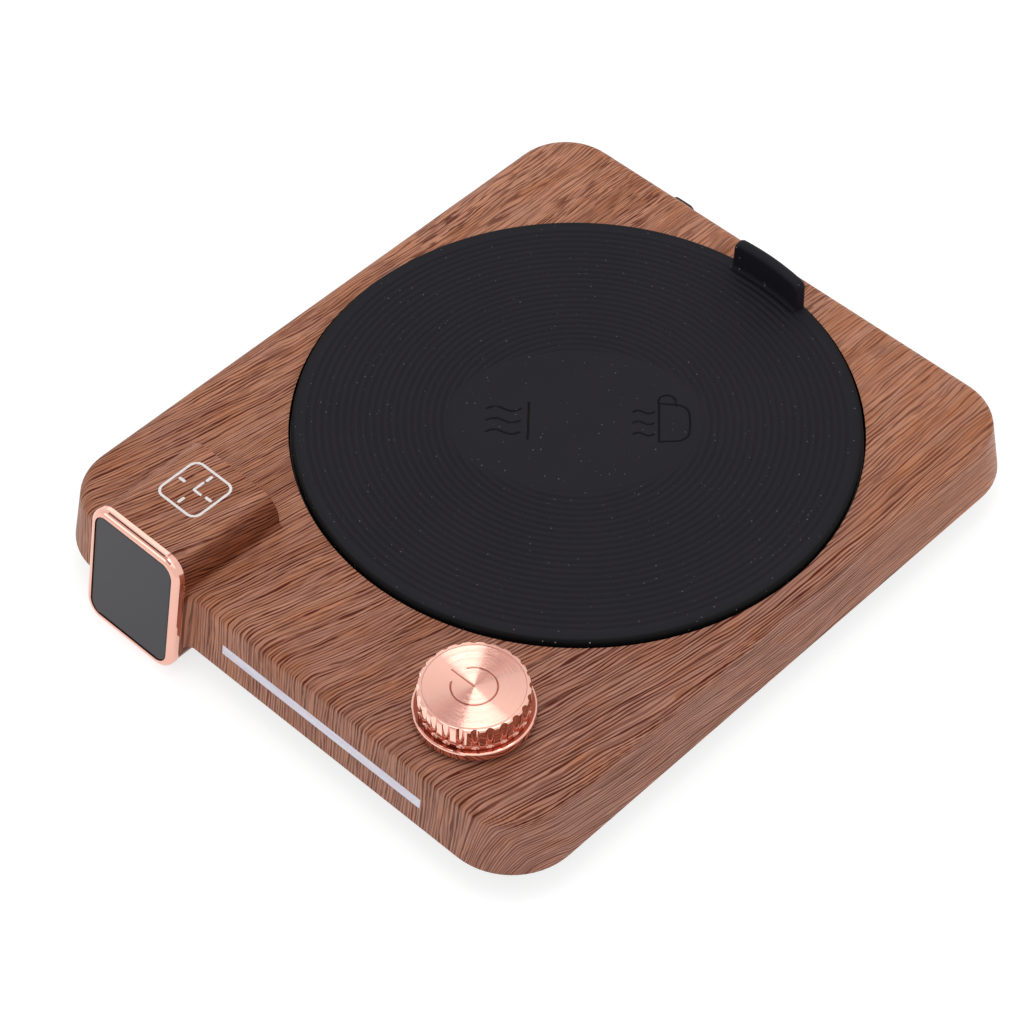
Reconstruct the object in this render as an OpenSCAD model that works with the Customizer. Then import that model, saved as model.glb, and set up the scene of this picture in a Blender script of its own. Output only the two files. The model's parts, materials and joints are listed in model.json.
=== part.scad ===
// Heated warming plate for a jar or cup: a wood-look moulded cover with a display
// housing at the front left, a fluted turn-and-press knob at the front right, a light
// bar in the front wall and a lift-off silicone mat over a heating plate.
// Millimetres. +Z is up, the front faces -Y, and the origin lies on the table under
// the middle of the whole object.

/* [Plate] */
// Diameter of the round mat that the plate is sized around
mat_d = 120; // [112:1:128]
// Plate left of the mat
margin_left = 8.9; // [8.6:0.1:14]
// Plate right of the mat
margin_right = 7.5; // [6.4:0.1:12]
// Plate behind the mat
margin_rear = 9.2; // [8.8:0.1:14]
// Depth of the control strip in front of the mat
control_strip = 29.6; // [28:0.1:36]
// Height of the cover from its lower edge to its top
cover_h = 15.2; // [14.6:0.1:18]
// Height of the cover's lower edge over the table
stand = 6.2; // [6:0.1:8]
// Plan radius of the cover's corners at the lower edge
corner_r = 15.4; // [14:0.1:18]
// How far the drafted walls lean in at the top
draft_inset = 2.6; // [2:0.1:3.2]
// Radius of the edge between walls and top
edge_r = 3; // [2:0.1:4]
// Bevel of the cover's lower edge
hem = 0.6; // [0.3:0.1:1]
// Thickness of the side walls
wall = 2.2; // [1.8:0.1:2.6]
// Thickness of the top
top_wall = 2.2; // [1.8:0.1:2.6]

/* [Mat] */
// Thickness of the mat
mat_t = 2.7; // [2.2:0.1:3.2]
// Height of the mat's face over the cover
mat_proud = 1.3; // [0.6:0.1:1.6]
// Radial gap between mat and cover
mat_gap = 0.6; // [0.4:0.1:1]
// Radius of the mat's rounded rim
mat_rim_r = 0.9; // [0.5:0.1:1]
// Distance between the rings on the mat
ring_pitch = 1.57; // [1.4:0.01:1.62]
// Number of rings on the mat
ring_count = 20; // [10:1:20]
// Radius of the innermost ring
ring_first_r = 25.2; // [22:0.1:26]
// Depth of the grooves between the rings
ring_depth = 0.3; // [0.2:0.05:0.5]
// Width of the lip at the back of the mat
lip_w = 20; // [16:0.5:26]
// Height of the lip over the cover
lip_h = 8.8; // [6:0.1:10]
// Thickness of the lip
lip_t = 2.7; // [2:0.1:3]
// Distance of the lip from the mat's edge
lip_inset = 0.2; // [0.2:0.1:1]
// How far the mat is turned in its pocket
mat_turn = -2.9; // [-8:0.1:8]

/* [Heater] */
// Thickness of the heating plate
plate_t = 2; // [1.6:0.1:2.6]
// Width of the ledge under the heating plate
ledge_w = 3.6; // [3:0.1:4.4]
// Thickness of the ledge
ledge_t = 1.4; // [1.2:0.1:1.8]
// Thickness of the wall round the pocket
pocket_wall = 1.8; // [1.4:0.1:2.2]
// Thickness of the seal under the heating plate
seal_t = 1; // [0.9:0.1:1.4]
// Thickness of the heating element
element_t = 0.8; // [0.6:0.1:0.9]
// Thickness of the insulation
insulation_t = 3; // [2.8:0.1:3.6]
// Thickness of the heat shield
shield_t = 0.8; // [0.6:0.1:1]
// Radius of the circle of plate screws
plate_screw_ring = 35; // [25:1:44]
// Diameter of the sensor probe
probe_d = 5; // [4:0.1:6]
// Diameter of the thermal fuse
fuse_d = 4; // [3.4:0.1:4.6]
// Length of the thermal fuse
fuse_l = 11; // [9:0.5:14]

/* [Knob] */
// Distance of the knob from the plate's right side
knob_from_right = 29.4; // [27:0.1:32]
// Distance of the knob from the plate's front
knob_from_front = 19.5; // [18.6:0.1:21]
// Diameter of the knob's fluted body
knob_d = 22.4; // [21:0.1:24]
// Diameter of the flange at the foot of the knob
flange_d = 24.6; // [24:0.1:26]
// Thickness of the flange
flange_t = 2.1; // [1.6:0.1:2.4]
// Height of the knob's top over the cover
knob_h = 8.8; // [8.6:0.1:11]
// Gap under the flange
knob_gap = 0.9; // [0.9:0.1:1.3]
// Number of flutes
flute_count = 24; // [18:1:26]
// Radius of a flute
flute_r = 1; // [0.8:0.05:1.1]
// Rim between the flutes and the disc let into the knob's top
inlay_rim = 0.4; // [0.3:0.05:1.2]
// Thickness of the disc let into the knob's top
inlay_t = 0.6; // [0.4:0.1:0.8]
// How far the knob presses in
press_travel = 0.5; // [0.3:0.05:0.5]
// Diameter of the encoder's shaft
shaft_d = 6; // [5.6:0.1:6.2]
// Side of the encoder's square body
encoder_w = 12.4; // [12.2:0.1:13.4]
// Height of the encoder's body
encoder_h = 6.6; // [6.4:0.1:7.4]

/* [Display] */
// Distance of the display's middle from the plate's left side
watch_from_left = 31.2; // [29:0.1:34]
// Width of the housing round the display
watch_w = 26.4; // [25.6:0.1:28]
// Height of the housing's top over the cover's lower edge
watch_top = 22.8; // [22:0.1:24.4]
// Depth of the housing's floor under the cover's lower edge
watch_drop = 4.5; // [4:0.1:4.9]
// Distance of the housing's back end from the plate's front
watch_back = 26.8; // [25:0.1:27.4]
// Radius of the housing's corners
watch_r = 4.8; // [4:0.1:5.4]
// Thickness of the housing's wall
watch_wall = 1.8; // [1.5:0.1:2]
// Radius of the hollow where the housing meets the plate
fillet_r = 2; // [1:0.1:2.6]
// Lean of the display
lean = 10.4; // [8:0.1:12]
// Distance of the lens in front of the plate's lower edge
lens_reach = 4.6; // [4.4:0.1:5.2]
// Height of the lens's middle up the leaning face
lens_mid = 9.9; // [9.4:0.1:10.4]
// Width of the lens
lens_w = 22.8; // [22:0.1:23.2]
// Height of the lens
lens_h = 26.2; // [25.4:0.1:26.6]
// Corner radius of the lens
lens_r = 3; // [2.4:0.1:3.6]
// Thickness of the lens in its window
lens_t = 1; // [0.8:0.1:1.2]
// Width of the bezel's face
lip = 1.6; // [1.4:0.1:1.8]
// Depth of the bezel
bezel_depth = 2.1; // [2:0.1:2.6]
// Radius of the bezel's front edge
bezel_edge_r = 1.3; // [0.8:0.1:1.3]
// Thickness of the display panel
panel_t = 2.2; // [1.8:0.1:2.6]

/* [Light bar] */
// Distance of the bar's middle from the plate's right side
bar_from_right = 54.4; // [50:0.1:58]
// Length of the bar
bar_l = 56; // [48:0.5:60]
// Height of the bar
bar_h = 2.3; // [1.8:0.1:2.8]
// Height of the bar's middle over the cover's lower edge
bar_up = 6.4; // [5.8:0.1:8]
// Number of lamps behind the bar
lamp_count = 8; // [4:1:12]

/* [Cord gland] */
// Distance of the gland from the plate's left side
gland_from_left = 36.8; // [32:0.1:42]
// Width of the moulded collar round the gland
collar_w = 6.4; // [6.2:0.1:8]
// Height of the collar
collar_h = 6.8; // [6.8:0.1:8]
// How far the collar stands out at the back
collar_out = 0.4; // [0:0.1:1.2]
// Height of the gland's middle over the cover's lower edge
gland_up = 7; // [6.8:0.1:7.6]
// Diameter of the gland's bore
gland_bore = 3.6; // [3:0.1:3.8]
// Thickness of the gland's flange
gland_flange = 0.5; // [0.4:0.1:1]

/* [Base] */
// Thickness of the base
base_t = 1.8; // [1.6:0.1:2.2]
// How far the base drops below the cover's lower edge
base_drop = 4.8; // [4.2:0.1:4.8]
// Height of the base's rim inside the cover
rim_h = 2.8; // [2:0.1:3.2]
// Thickness of the base's rim
rim_t = 1.6; // [1.4:0.1:2]
// Diameter of a foot
foot_d = 11; // [9:0.5:12]
// Depth of a foot's seat in the base
foot_seat = 0.8; // [0.5:0.1:1]
// Distance of the feet from the plate's sides
foot_from_side = 24; // [22:0.5:28]
// Distance of the feet from the plate's front and back
foot_from_end = 16; // [14:0.5:20]
// Distance of the case screws from the plate's outline
screw_inset = 12.2; // [12:0.1:13]
// Diameter of a case screw
screw_d = 2.6; // [2.2:0.1:3]
// Width of a vent slot
vent_w = 2.4; // [1.6:0.1:3]
// Length of a vent slot
vent_l = 24; // [16:1:30]
// Number of vent slots in a row
vent_count = 9; // [5:1:11]
// Distance between vent slots
vent_pitch = 6; // [5:0.1:6.6]

/* [Control board] */
// Thickness of the circuit boards
board_t = 1.6; // [1.2:0.1:1.8]
// Distance of the board's front edge from the plate's front
board_front = 7.4; // [7:0.1:8]
// Depth of the board
board_d = 16.6; // [16:0.1:18]
// Distance of the board's ends from the plate's sides
board_side = 19; // [18.6:0.1:22]
// Diameter of the touch pad under the clock mark
touch_d = 7; // [5:0.1:8]
// Distance of the touch pad from the plate's front
touch_from_front = 17.4; // [16.6:0.1:18.6]

/* [Hidden] */
$fn = 64;

// Clearances: a push or running fit, a seated joint, and pieces that only pass by
fit = 0.05;
seat = 0.15;
pass = 0.3;
// Extra length of a cut past the face that it opens
over = 1;

// The plate's outline and levels
plate_w = mat_d + margin_left + margin_right;
plate_d = mat_d + margin_rear + control_strip;
left = -plate_w / 2;
right = plate_w / 2;
front = -plate_d / 2;
back = plate_d / 2;
draft = atan(draft_inset / cover_h);
cover_top = stand + cover_h;
under_top = cover_top - top_wall;

// The stack under the mat, from the mat down
mat_x = left + margin_left + mat_d / 2;
mat_y = front + control_strip + mat_d / 2;
pocket_r = mat_d / 2 + mat_gap;
mat_face = cover_top + mat_proud;
mat_under = mat_face - mat_t;
groove_share = 0.32;
heat_top = mat_under - fit;
heat_r = pocket_r - pass;
heat_under = heat_top - plate_t;
ledge_top = heat_under - seal_t;
ledge_under = ledge_top - ledge_t;
ledge_r = pocket_r - ledge_w;
element_gap = 2.6;
element_r = ledge_r - element_gap;
element_under = heat_under - element_t;
insulation_under = element_under - insulation_t;
shield_under = insulation_under - shield_t;
boss_r = 3;
plate_screw_r = 1.45;
plate_screw_head_r = 2.75;
plate_screw_head_h = 1.8;

// The knob and its encoder
knob_x = right - knob_from_right;
knob_y = front + knob_from_front;
knob_foot = cover_top + knob_gap;
cap_h = knob_h - knob_gap;
cap_roof = 1;
cap_wall = 1.4;
flute_stop = 0.1;
flute_nose = 0.6;
flute_depth = flute_r * 0.55;
inlay_r = knob_d / 2 - flute_depth - inlay_rim;
shaft_r = shaft_d / 2;
bush_wall = 0.5;
bush_r = shaft_r + bush_wall;
washer_t = 0.4;
nut_t = 1.6;
nut_r = 5.6;
bush_top = cover_top + washer_t + nut_t;
hub_foot = bush_top + press_travel + pass;
hub_wall = 1.5;
hub_r = shaft_r + hub_wall;
shaft_top = knob_foot + cap_h - inlay_t - cap_roof - seat;
flat_depth = 1.1;
shaft_step = 0.6;
tail_r = shaft_r - shaft_step;
encoder_foot = under_top - encoder_h;
encoder_floor = 0.8;
encoder_roof = 1.4;
encoder_wall = 1.1;
cavity_r = encoder_w / 2 - encoder_wall;
cavity_foot = encoder_foot + encoder_floor;
cavity_top = under_top - encoder_roof;
dome_h = 0.5;
dome_r = 2.2;
dome_t = 0.15;
shaft_foot = cavity_foot + dome_h + press_travel + seat;
rotor_t = 2.2;
rotor_top = cavity_top - seat;
shoulder = rotor_top + press_travel + seat;

// The display housing; depths are measured back from the lens
watch_x = left + watch_from_left;
lens_y = front - lens_reach;
bezel_w = lens_w + 2 * lip;
bezel_h = lens_h + 2 * lip;
bezel_r = lens_r + lip;
bezel_proud = 0.15;
lens_flange = 0.6;
lens_flange_t = 0.6;
lens_back = lens_t + lens_flange_t;
spigot_wall = 1.2;
board_depth = lens_back + pass + panel_t;
spigot_depth = board_depth - bezel_depth;
spigot_w = watch_w - 2 * watch_wall - 2 * seat;
spigot_high = (watch_top - watch_wall - seat + bezel_depth * sin(lean)) / cos(lean);
spigot_low = (-watch_drop + watch_wall + seat + board_depth * sin(lean)) / cos(lean);
spigot_h = spigot_high - spigot_low;
spigot_mid = (spigot_high + spigot_low) / 2;
inner_r = watch_r - watch_wall;
display_board_t = 1;
display_board_clear = 3.4;
display_board_low = rim_h + display_board_clear;

// The light bar, in the frame of the leaning front wall
bar_x = right - bar_from_right;
bar_flange = 1.6;
bar_flange_t = 0.9;
lamp_gap = 1.1;
lamp_t = 0.8;
lamp_w = 2.4;
lamp_board_t = 1;
lamp_z = -wall - fit - bar_flange_t - lamp_gap;
bar_post = 1.4;

// The gland and the object's reach, which sets the origin
gland_x = left + gland_from_left;
gland_wall = 1;
gland_r = 1;
collar_r = collar_w * 0.25;
gland_end = back + collar_out + gland_flange;
gland_in = 6.4;
front_reach = lens_reach - front
    + (bezel_h / 2 - lens_mid - bezel_edge_r) * sin(lean)
    + (bezel_proud - bezel_edge_r) * cos(lean) + bezel_edge_r;
plate_y = (front_reach - gland_end) / 2;

// The base, its posts and the board that it carries
base_foot = stand - base_drop;
floor_top = base_foot + base_t;
rim_gap = pass;
rim_r = corner_r - wall - rim_gap;
post_r = 4.2;
post_h = 5.8;
post_top = floor_top + post_h;
cover_post_r = 3.2;
head_r = 2.5;
head_h = 1.8;
head_pad = 2;
head_seat = floor_top + head_pad;
screw_grip = 7;
board_top = encoder_foot;
board_under = board_top - board_t;
board_post_r = 2.8;
board_screw_r = 1.1;
board_grip = 5;
board_screw_head_r = 2;
board_screw_head_h = 1.4;
board_left = left + board_side;
board_right = right - board_side;
board_y0 = front + board_front;
board_y1 = board_y0 + board_d;
board_tab = 16;
touch_y = front + touch_from_front;
touch_left = 1.3;
touch_x = watch_x - touch_left;

// Points on an arc about [x, y], from one angle to another
function arc(x, y, r, from, to, steps = 8) =
    [for (i = [0:steps]) let (a = from + (to - from) * i / steps) [x + r * cos(a), y + r * sin(a)]];

// Distance from a corner's axis to a drafted wall at a height over the lower edge
function wall_at(r, z) = r - draft_inset * z / cover_h;

// Section of the cover: top, rounded edge, drafted wall
function cover_section() =
    let (z = cover_h - edge_r, x = wall_at(corner_r, z) - edge_r / cos(draft))
    concat([[0, cover_h]], arc(x, z, edge_r, 90, draft),
           [[wall_at(corner_r, hem), hem], [corner_r - hem, 0], [corner_r - wall, 0],
            [wall_at(corner_r - wall, cover_h - top_wall), cover_h - top_wall],
            [0, cover_h - top_wall]]);

// Section of the space inside the cover, run on below its lower edge
function inside_section() =
    let (x = corner_r - wall, z = cover_h - top_wall)
    [[0, -2 * watch_drop], [x, -2 * watch_drop], [x, 0], [wall_at(x, z), z], [0, z]];

// Moves a piece from the plate's middle to the object's origin
module at_plate() {
    translate([0, plate_y, 0])
        children();
}

// Frame of the display: x across, y up the leaning face, z out of the lens
module at_display() {
    at_plate()
        translate([watch_x, lens_y, stand])
            rotate([90 - lean, 0, 0])
                children();
}

// Frame of the light bar: x along the bar, y up the front wall, z out of the wall
module at_bar() {
    at_plate()
        translate([bar_x, front + draft_inset * bar_up / cover_h, stand + bar_up])
            rotate([90 - draft, 0, 0])
                children();
}

// Copies a piece to the four corners of a rectangle
module at_corners(x, y) {
    for (sx = [-1, 1], sy = [-1, 1])
        translate([sx * x, sy * y, 0])
            children();
}

// Rectangle with round corners
module round_rect(w, h, r) {
    square([w - 2 * r, h], center = true);
    square([w, h - 2 * r], center = true);
    for (sx = [-1, 1], sy = [-1, 1])
        translate([sx * (w / 2 - r), sy * (h / 2 - r)])
            circle(r);
}

// Carries a section round a rounded rectangle; its x is taken from the corner's axis
module rim_loop(w, d, r) {
    x = w / 2 - r;
    y = d / 2 - r;
    for (k = [0:3]) {
        sx = (k == 0 || k == 3) ? x : -x;
        sy = k < 2 ? y : -y;
        translate([sx, sy, 0])
            rotate([0, 0, 90 * k])
                rotate_extrude(angle = 90)
                    children();
        rotate([0, 0, 90 * k])
            translate([k % 2 == 0 ? x : y, 0, 0])
                rotate([90, 0, 0])
                    linear_extrude(2 * (k % 2 == 0 ? y : x), center = true)
                        children();
    }
}

// Slab inside the corner axes of a rounded rectangle
module core(w, d, r, low, high) {
    translate([r - w / 2, r - d / 2, low])
        cube([w - 2 * r, d - 2 * r, high - low]);
}

// Round bar with one flat along its side
module flat_bar(r, flat, low, high) {
    difference() {
        translate([0, 0, low])
            cylinder(h = high - low, r = r);
        translate([r - flat, -r, low - over])
            cube([2 * r, 2 * r, high - low + 2 * over]);
    }
}

// Screw that points up, with its head below the seat
module screw(seat_z, length, r, head, thick) {
    translate([0, 0, seat_z])
        cylinder(h = length, r = r);
    translate([0, 0, seat_z - thick])
        cylinder(h = thick, r = head);
}

// Outside of the display housing, run back through the cover
module watch_form(grow, low, high, rear) {
    translate([watch_x, rear, stand + (low + high) / 2])
        rotate([90, 0, 0])
            linear_extrude(rear - front + 3 * lens_reach)
                round_rect(watch_w - 2 * grow, high - low, watch_r - grow);
}

// Section of the hollow fillet: a square with a circle taken out that cuts both faces
module fillet_section() {
    difference() {
        translate([-fit, -fit])
            square(fillet_r + fit);
        translate([fillet_r, fillet_r])
            circle(fillet_r + fit);
    }
}

// Fillet beside the housing: up the front wall, over the rounded edge and back along the top
module watch_fillet() {
    edge_z = cover_h - edge_r;
    edge_y = draft_inset * edge_z / cover_h + edge_r / cos(draft);
    slope = (edge_z + edge_r * sin(draft) - hem) / cos(draft);
    translate([watch_w / 2, front + edge_y, stand + edge_z]) {
        translate([0, watch_back - edge_y, edge_r])
            rotate([90, 0, 0])
                linear_extrude(watch_back - edge_y)
                    fillet_section();
        rotate([0, 90, 0])
            rotate([0, 0, 180])
                fillet_turn();
        rotate([-draft, 0, 0])
            translate([0, -edge_r, 0])
                mirror([0, 0, 1])
                    linear_extrude(slope)
                        mirror([0, 1])
                            fillet_section();
    }
}

// Turn of the fillet round the plate's edge
module fillet_turn() {
    rotate_extrude(angle = 90 - draft)
        translate([edge_r, 0])
            fillet_section();
}

// Space inside the display housing
module watch_space() {
    watch_form(watch_wall, watch_wall - watch_drop, watch_top - watch_wall, front + wall - watch_wall);
    intersection() {
        watch_form(watch_wall, watch_wall - watch_drop, watch_top - watch_wall,
                   front + watch_back - watch_wall);
        translate([left, front - 3 * lens_reach, stand])
            cube([plate_w, plate_d, 2 * cover_h]);
    }
}

// Moulded cover in one shell: drafted plate, display housing, mat pocket and rear collar
module top_cover() {
    color([0.45, 0.27, 0.18])
        difference() {
            union() {
                difference() {
                    at_plate()
                        union() {
                            translate([0, 0, stand])
                                rim_loop(plate_w, plate_d, corner_r)
                                    polygon(cover_section());
                            core(plate_w, plate_d, corner_r, under_top, cover_top);
                            for (side = [0, 1])
                                translate([watch_x, 0, 0])
                                    mirror([side, 0, 0])
                                        watch_fillet();
                            difference() {
                                watch_form(0, -watch_drop, watch_top, front + watch_back);
                                translate([0, 0, stand])
                                    rim_loop(plate_w, plate_d, corner_r)
                                        polygon(inside_section());
                                core(plate_w, plate_d, corner_r, -over, under_top);
                            }
                        }
                    at_plate()
                        watch_space();
                    at_display()
                        translate([-watch_w, -watch_w, -bezel_depth])
                            cube([2 * watch_w, 3 * watch_w, watch_w]);
                    at_bar()
                        linear_extrude(3 * wall, center = true)
                            square([bar_l + 2 * fit, bar_h + 2 * fit], center = true);
                }
                at_plate()
                    gland_collar();
                at_plate()
                    translate([mat_x, mat_y, ledge_under])
                        cylinder(h = cover_top - ledge_under - top_wall / 2, r = pocket_r + pocket_wall);
                at_plate()
                    at_corners(right - screw_inset, back - screw_inset)
                        translate([0, 0, post_top + seat])
                            cylinder(h = under_top - post_top, r = cover_post_r);
            }
            at_plate()
                translate([mat_x, mat_y, 0]) {
                    translate([0, 0, ledge_top])
                        cylinder(h = cover_h, r = pocket_r);
                    cylinder(h = cover_top, r = ledge_r);
                }
            at_plate()
                translate([knob_x, knob_y, under_top - over])
                    cylinder(h = top_wall + 2 * over, r = bush_r + seat);
            at_plate()
                at_corners(right - screw_inset, back - screw_inset)
                    cylinder(h = post_top + screw_grip + over, r = screw_d / 2 + fit);
            at_plate()
                gland_slot();
        }
}

// Collar on the rear wall that takes the cord gland
module gland_collar() {
    translate([gland_x, back + collar_out, stand + gland_up])
        rotate([90, 0, 0])
            linear_extrude(collar_out + gland_in)
                round_rect(collar_w, collar_h, collar_r);
}

// Way through the collar for the gland's body
module gland_slot() {
    translate([gland_x, back + collar_out + over, stand + gland_up])
        rotate([90, 0, 0])
            linear_extrude(collar_out + gland_in + 2 * over)
                round_rect(collar_w - 2 * gland_wall, collar_h - 2 * gland_wall, gland_r);
}

// Section of the base: sloping flank, and a rim that stands inside the cover's wall
function base_section() =
    let (x = rim_r - base_drop, lift = base_t * (sqrt(2) - 1))
    [[0, base_foot], [x, base_foot], [rim_r, stand], [wall_at(rim_r, rim_h), stand + rim_h],
     [wall_at(rim_r, rim_h) - rim_t, stand + rim_h], [rim_r - rim_t, stand + lift],
     [x - lift, floor_top], [0, floor_top]];

// Base with its posts, foot seats and vents
module base_cover() {
    w = plate_w - 2 * (wall + rim_gap);
    d = plate_d - 2 * (wall + rim_gap);
    color([0.13, 0.11, 0.1])
        at_plate()
            difference() {
                union() {
                    rim_loop(w, d, rim_r)
                        polygon(base_section());
                    core(w, d, rim_r, base_foot, floor_top);
                    at_corners(right - screw_inset, back - screw_inset)
                        translate([0, 0, base_foot + base_t / 2])
                            cylinder(h = post_top - base_foot - base_t / 2, r = post_r);
                    board_places()
                        translate([0, 0, base_foot + base_t / 2])
                            cylinder(h = board_under - base_foot - base_t / 2, r = board_post_r);
                }
                at_corners(right - screw_inset, back - screw_inset) {
                    cylinder(h = post_top + over, r = screw_d / 2 + pass);
                    cylinder(h = head_seat, r = head_r + pass);
                }
                board_places()
                    translate([0, 0, floor_top + over])
                        cylinder(h = board_under, r = board_screw_r + fit);
                at_corners(right - foot_from_side, back - foot_from_end)
                    cylinder(h = base_foot + foot_seat, r = foot_d / 2 + fit);
                vents();
                rim_notch();
            }
}

// Gap in the rim behind the display housing
module rim_notch() {
    translate([watch_x - watch_w / 2, front, stand + seat])
        cube([watch_w, wall + 2 * rim_t + rim_gap, rim_h + over]);
}

// Two rows of vent slots under the heat shield
module vents() {
    vent_gap = 7.2;
    for (row = [-1, 1], i = [0:vent_count - 1])
        translate([(i - (vent_count - 1) / 2) * vent_pitch,
                   mat_y + row * (vent_l + vent_gap) / 2, base_foot - over])
            linear_extrude(base_t + 2 * over) {
                square([vent_w, vent_l - vent_w], center = true);
                for (end = [-1, 1])
                    translate([0, end * (vent_l - vent_w) / 2])
                        circle(vent_w / 2);
            }
}

// Four rubber feet
module rubber_feet() {
    edge = 0.5;
    color([0.08, 0.08, 0.08])
        at_plate()
            at_corners(right - foot_from_side, back - foot_from_end)
                rotate_extrude()
                    polygon(concat([[0, 0]], arc(foot_d / 2 - edge, edge, edge, -90, 0, 4),
                                   [[foot_d / 2, base_foot + foot_seat], [0, base_foot + foot_seat]]));
}

// Four screws that hold base and cover together
module case_screws() {
    color([0.6, 0.6, 0.62])
        at_plate()
            at_corners(right - screw_inset, back - screw_inset)
                screw(head_seat, post_top + screw_grip - head_seat, screw_d / 2, head_r, head_h);
}

// Section of the mat: flat underside, rounded rim, ring grooves, plain middle
function mat_section() =
    let (r = mat_d / 2, half = ring_pitch * groove_share)
    concat([[0, mat_under], [r - mat_rim_r / 2, mat_under], [r, mat_under + mat_rim_r / 2]],
           arc(r - mat_rim_r, mat_face - mat_rim_r, mat_rim_r, 0, 90, 6),
           [for (i = [ring_count - 1:-1:0], step = [1, 0, -1])
               [ring_first_r + i * ring_pitch + step * half, mat_face - (step == 0 ? ring_depth : 0)]],
           [[0, mat_face]]);

// Silicone mat with its finger lip at the back
module silicone_mat() {
    color([0.13, 0.13, 0.14])
        at_plate()
            translate([mat_x, mat_y, 0])
                rotate([0, 0, mat_turn]) {
                    rotate_extrude($fn = 128)
                        polygon(mat_section());
                    mat_lip();
                }
}

// Upright lip that follows the mat's edge, with round top corners
module mat_lip() {
    r = mat_d / 2 - lip_inset;
    round_r = 1.4;
    low = mat_face - mat_t / 2;
    high = cover_top + lip_h;
    intersection() {
        translate([0, 0, low])
            difference() {
                cylinder(h = high - low, r = r, $fn = 128);
                translate([0, 0, -over])
                    cylinder(h = high - low + 2 * over, r = r - lip_t, $fn = 128);
            }
        translate([0, mat_d, low + (high - low) / 2])
            rotate([90, 0, 0])
                linear_extrude(mat_d) {
                    translate([0, -round_r / 2])
                        square([lip_w, high - low - round_r], center = true);
                    round_rect(lip_w, high - low, round_r);
                }
    }
}

// Copies a piece to the plate screws
module at_plate_screws() {
    for (k = [0:3])
        rotate([0, 0, 45 + 90 * k])
            translate([plate_screw_ring, 0, 0])
                children();
}

// Moves a piece to the middle of the heater
module at_heater() {
    at_plate()
        translate([mat_x, mat_y, 0])
            children();
}

// Heating plate with four bosses under it
module heating_plate() {
    color([0.72, 0.73, 0.75])
        at_heater()
            difference() {
                union() {
                    translate([0, 0, heat_under])
                        cylinder(h = plate_t, r = heat_r);
                    at_plate_screws()
                        translate([0, 0, insulation_under])
                            cylinder(h = heat_under - insulation_under + plate_t / 2, r = boss_r);
                }
                at_plate_screws()
                    translate([0, 0, insulation_under - over])
                        cylinder(h = heat_under - insulation_under + over, r = plate_screw_r + fit);
            }
}

// Heat-proof seal between the heating plate and its ledge
module plate_seal() {
    color([0.75, 0.3, 0.2])
        at_heater()
            translate([0, 0, ledge_top])
                difference() {
                    cylinder(h = seal_t, r = heat_r - seat);
                    translate([0, 0, -over])
                        cylinder(h = seal_t + 2 * over, r = ledge_r + seat);
                }
}

// Flat element against the underside of the heating plate
module heater_element() {
    color([0.55, 0.45, 0.25])
        heater_disc(element_under, element_t);
}

// Insulation between the element and the shield
module insulation_disc() {
    color([0.88, 0.86, 0.8])
        heater_disc(insulation_under, insulation_t);
}

// Disc with room for the bosses and for the sensor probe
module heater_disc(low, thick) {
    at_heater()
        translate([0, 0, low])
            difference() {
                cylinder(h = thick, r = element_r);
                translate([0, 0, -over]) {
                    cylinder(h = thick + 2 * over, r = probe_d / 2 + pass);
                    at_plate_screws()
                        cylinder(h = thick + 2 * over, r = boss_r + pass);
                }
            }
}

// Dished steel shield whose flange presses up against the ledge
module heat_shield() {
    dish_r = element_r + pass;
    color([0.65, 0.66, 0.68])
        at_heater()
            difference() {
                rotate_extrude()
                    polygon([[0, shield_under], [dish_r + shield_t, shield_under],
                             [dish_r + shield_t, ledge_under - shield_t],
                             [heat_r - seat, ledge_under - shield_t], [heat_r - seat, ledge_under],
                             [dish_r, ledge_under], [dish_r, insulation_under], [0, insulation_under]]);
                translate([0, 0, shield_under - over]) {
                    cylinder(h = shield_t + 2 * over, r = probe_d / 2 + pass);
                    at_plate_screws()
                        cylinder(h = shield_t + 2 * over, r = plate_screw_r + pass);
                }
            }
}

// Four screws that draw the shield up to the heating plate
module plate_screws() {
    color([0.7, 0.7, 0.72])
        at_heater()
            at_plate_screws()
                screw(shield_under, heat_under - shield_under - seat, plate_screw_r,
                      plate_screw_head_r, plate_screw_head_h);
}

// Temperature probe that touches the heating plate through the stack
module sensor_probe() {
    probe_flange = 0.8;
    tail_l = 4;
    tail_r = probe_d / 2 - 0.6;
    color([0.8, 0.8, 0.82])
        at_heater()
            rotate_extrude()
                polygon([[0, shield_under - tail_l], [tail_r, shield_under - tail_l],
                         [tail_r, shield_under - probe_flange],
                         [probe_d, shield_under - probe_flange], [probe_d, shield_under],
                         [probe_d / 2, shield_under], [probe_d / 2, heat_under], [0, heat_under]]);
}

// Moves a piece to the axis of the thermal fuse, which lies along x
module at_fuse() {
    at_heater()
        translate([probe_d + fuse_l, -probe_d * 2, shield_under - fuse_d / 2 - fit])
            rotate([0, 90, 0])
                children();
}

// Thermal fuse under the shield
module thermal_fuse() {
    color([0.85, 0.8, 0.7])
        at_fuse()
            cylinder(h = fuse_l, r = fuse_d / 2, center = true);
}

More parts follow.
